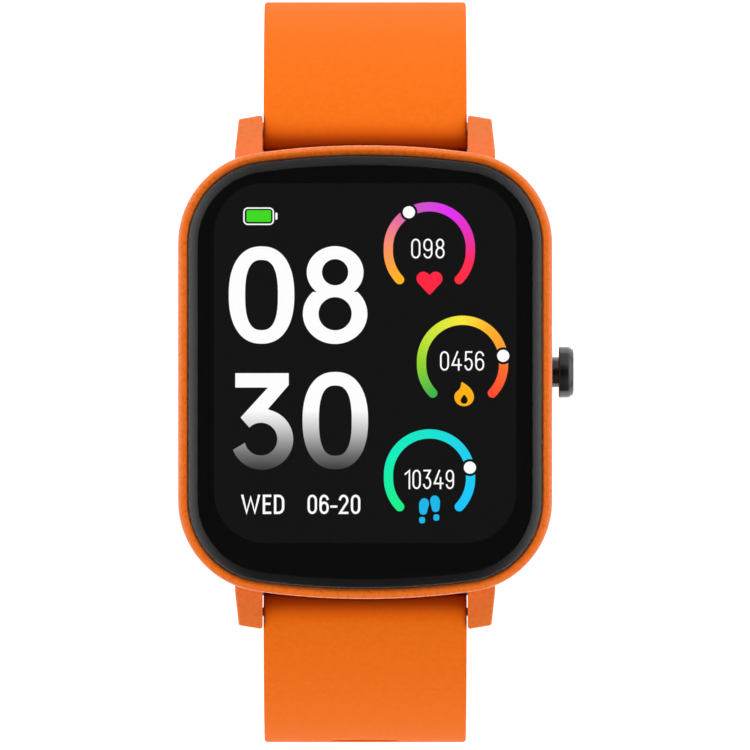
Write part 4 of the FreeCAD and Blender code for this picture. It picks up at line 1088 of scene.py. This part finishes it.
def makeTongue():
    eye, rest, thick = buckle["tongueEye"], buckle["tongueRest"], buckle["tongueThick"]
    end, wide = buckle["tongueEnd"], buckle["tongueHalf"]
    straight, tip = buckle["tongueStraight"], buckle["tongueTip"]
    rows = []  # (along, top, underside, half width)
    for share in shares(7, 1):
        y = -eye * math.cos(math.radians(90 * share))
        high = math.sqrt(eye**2 - y**2)
        rows.append((y, high, -high, wide))
    under = list(buckle["tongueUnder"])
    lastY, lastLow = under[-1]
    for share in shares(8, 1):
        under.append((lastY + (straight - lastY) * share, lastLow + (rest - lastLow) * share))
    rows += [(y, eye + (rest + thick - eye) * y / straight, low, wide) for y, low in under]
    for share in shares(12, 1):
        y = straight + (end - straight) * math.sin(math.radians(90 * share))
        into = max(0.0, (y - (end - tip)) / tip)
        high = rest + thick - buckle["tipDrop"] * (y - straight) / (end - straight)
        rows.append((y, high, rest, wide - tip + tip * math.sqrt(max(0.0, 1 - into**2))))
    rings = []
    for y, high, low, halfWidth in rows:
        edge = min(buckle["tongueEdge"], (high - low) / 2.2)
        ring = []
        for way, up, start in ((1, 1, 90), (1, -1, 0), (-1, -1, -90), (-1, 1, -180)):
            for a in range(0, 91, 30):
                turn = math.radians(start - a)
                x = way * (halfWidth - edge) + edge * math.cos(turn)
                z = (high - edge if up > 0 else low + edge) + edge * math.sin(turn)
                ring.append(atPin(x, y, z))
        rings.append(ring)
    addPiece("buckle_tongue_blade", *joinRings(rings), "buckle_tongue", "gunmetal", 40, node="buckle_tongue")


makeBuckleFrame()
makeTongue()
print("buckle is on")

spring = {
    "wire": 0.18,
    "turns": 9,
    "travel": 1.1,  # how far a tip goes in
}


def makeBarSprings():
    # each coil is two halves, from the middle of the bar out to each tip
    wire = spring["wire"] / 2
    for side in ("upper", "lower"):
        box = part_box(side + "_bar_spring")
        half, y, z = box[1].x / mm - wire, (box[0].y + box[1].y) / 2 / mm, (box[0].z + box[1].z) / 2 / mm
        radius = (box[1].y - box[0].y) / 2 / mm - wire
        for name, way in (("right", 1), ("left", -1)):
            rings = []
            for share in shares(24 * spring["turns"] // 2):
                a = math.pi * spring["turns"] * share
                ring = []
                for turn in shares(8)[:-1]:
                    b = 2 * math.pi * turn
                    x, r = way * half * share + wire * math.sin(b), radius + wire * math.cos(b)
                    ring.append((x, y + math.cos(a) * r, z + math.sin(a) * r))
                rings.append(ring)
            part = side + "_coil_" + name
            piece = addPiece(part, *joinRings(rings), side + "_strap", "steel", node=side + "_bar_spring")
            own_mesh(piece)
    print("springs are in")


makeBarSprings()

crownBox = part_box("crown_cap")
crown = {
    "axis": (crownBox[0].z + crownBox[1].z) / 2 / mm,
    # distance along the axis from the outer face, and radius
    "profile": [
        (-7.5, 0.0), (-7.5, 0.66), (-7.46, 0.7), (-6.05, 0.7), (-6.05, 0.5), (-5.77, 0.5), (-5.77, 0.7),
        (-5.0, 0.7), (-5.0, 1.45), (-4.95, 1.5), (-4.3, 1.5), (-4.3, 1.1), (-3.7, 1.1), (-3.7, 1.5),
        (-3.3, 1.5), (-3.3, 1.1), (-2.7, 1.1), (-2.7, 1.5), (-1.45, 1.5), (-1.45, 2.36), (-1.435, 2.43),
        (-1.39, 2.49), (-1.32, 2.525), (-0.50, 2.525), (-0.47, 2.515), (-0.03, 2.24), (0.0, 2.2),
        (0.0, 1.75), (-0.02, 1.70), (-0.08, 1.66), (-0.08, 0.0),
    ],
}


def makeCrown():
    face = crownBox[1].x / mm
    rings = []
    for place, radius in crown["profile"]:
        circle = bow(0, crown["axis"], radius, radius, 0, 360, 128)[:-1]
        rings.append([(face + place, y, z) for y, z in circle])
    points, faces = joinRings(rings, caps=False)
    addPiece("turned_crown", points, faces, "crown", "gunmetal", 25, node="crown_cap")
    print("crown is on")


makeCrown()

studio = {
    "across": 73.9645,  # width of the view at the watch
    "distance": 2500,
    "aim": (0.97, -0.28),  # the watch sits a little left of the middle
    "tentSides": 1.2,
    "tentBack": 0.6,
    "tentFront": 0.12,
    "tentTop": 0.12,  # what is left of that straight overhead
    "floorGlow": 0.5,  # the floor is a light table, so it lights itself
    "floorHalf": 3.0,  # metres
    "floorGap": 0.02,
    "clip": (0.5, 10),  # metres
    "lamps": {  # place, width and height, power
        "top": ((0, 420, 330), (700, 300), 2.5),
        "right": ((430, 0, 260), (300, 600), 0.5),
        "left": ((-430, 0, 260), (300, 600), 0.5),
        "bottom": ((0, -450, 300), (600, 250), 1.8),
        "overheadRight": ((350, 0, 900), (150, 400), 0.85),
        "overheadLeft": ((-350, 0, 900), (150, 400), 0.85),
    },
}


def makeStudio():
    camera = bpy.data.cameras.new("camera")
    cameraObject = bpy.data.objects.new("camera", camera)
    scene.collection.objects.link(cameraObject)
    camera.lens = camera.sensor_width * studio["distance"] / studio["across"]
    camera.clip_start, camera.clip_end = studio["clip"]
    cameraObject.location = Vector((*studio["aim"], studio["distance"])) * mm
    scene.camera = cameraObject
    scene.view_settings.view_transform = "Standard"

    # what the gloss mirrors: a tent that is brightest at the left and right and dark overhead
    world = bpy.data.worlds.new("studio")
    scene.world = world
    world.use_nodes = True
    tree = world.node_tree
    where = addNode(tree, "TexCoord")
    split = addNode(tree, "SeparateXYZ", links={0: where.outputs["Generated"]})
    sides = addNode(tree, "Math", {"operation": "POWER", 1: 2.0}, {0: split.outputs["X"]})
    back = addNode(
        tree, "MapRange", {"From Min": -1, "To Min": studio["tentFront"], "To Max": studio["tentBack"]},
        {"Value": split.outputs["Y"]},
    )
    glow = addNode(
        tree, "Math", {"operation": "MULTIPLY_ADD", 1: studio["tentSides"]},
        {0: sides.outputs[0], 2: back.outputs["Result"]},
    )
    lower = addNode(
        tree, "MapRange", {"From Min": 1.0, "From Max": 0.75, "To Min": studio["tentTop"]},
        {"Value": split.outputs["Z"]},
    )
    shade = addNode(tree, "Math", {"operation": "MULTIPLY"}, {0: glow.outputs[0], 1: lower.outputs["Result"]})
    tree.links.new(shade.outputs[0], tree.nodes["Background"].inputs["Strength"])
    tree.nodes["Background"].inputs["Color"].default_value = (1, 1, 1, 1)
    world.cycles_visibility.diffuse = False  # matt surfaces get their light from the softboxes alone

    for name, (place, size, power) in studio["lamps"].items():
        lamp = bpy.data.lights.new(name + "_softbox", "AREA")
        lamp.shape = "RECTANGLE"
        lamp.size, lamp.size_y = size[0] * mm, size[1] * mm
        lamp.energy = power
        lampObject = bpy.data.objects.new(name + "_softbox", lamp)
        scene.collection.objects.link(lampObject)
        lampObject.location = Vector(place) * mm
        lampObject.rotation_euler = (-Vector(place)).to_track_quat("-Z", "Y").to_euler()
        # softboxes don't show in the gloss or the glass: only the tent does
        lampObject.visible_glossy = False
        lampObject.visible_transmission = False

    half, z = studio["floorHalf"], cadBox[0].z - studio["floorGap"] * mm
    mesh = bpy.data.meshes.new("floor")
    corners = [(-half, -half, z), (half, -half, z), (half, half, z), (-half, half, z)]
    mesh.from_pydata(corners, [], [(0, 1, 2, 3)])
    floor = bpy.data.objects.new("floor", mesh)
    scene.collection.objects.link(floor)
    # opal acrylic sheet, lit from behind: even white, with no reflection
    opal = mottled(
        "matt_opal_acrylic", ("#f4f4f4", "#f8f8f8"), 2.0, 0.002, (0.85, 0.95),
        {"Emission Color": (1, 1, 1, 1), "Emission Strength": studio["floorGlow"]},
    )
    mesh.materials.append(opal[0])
    print("studio is up")


makeStudio()
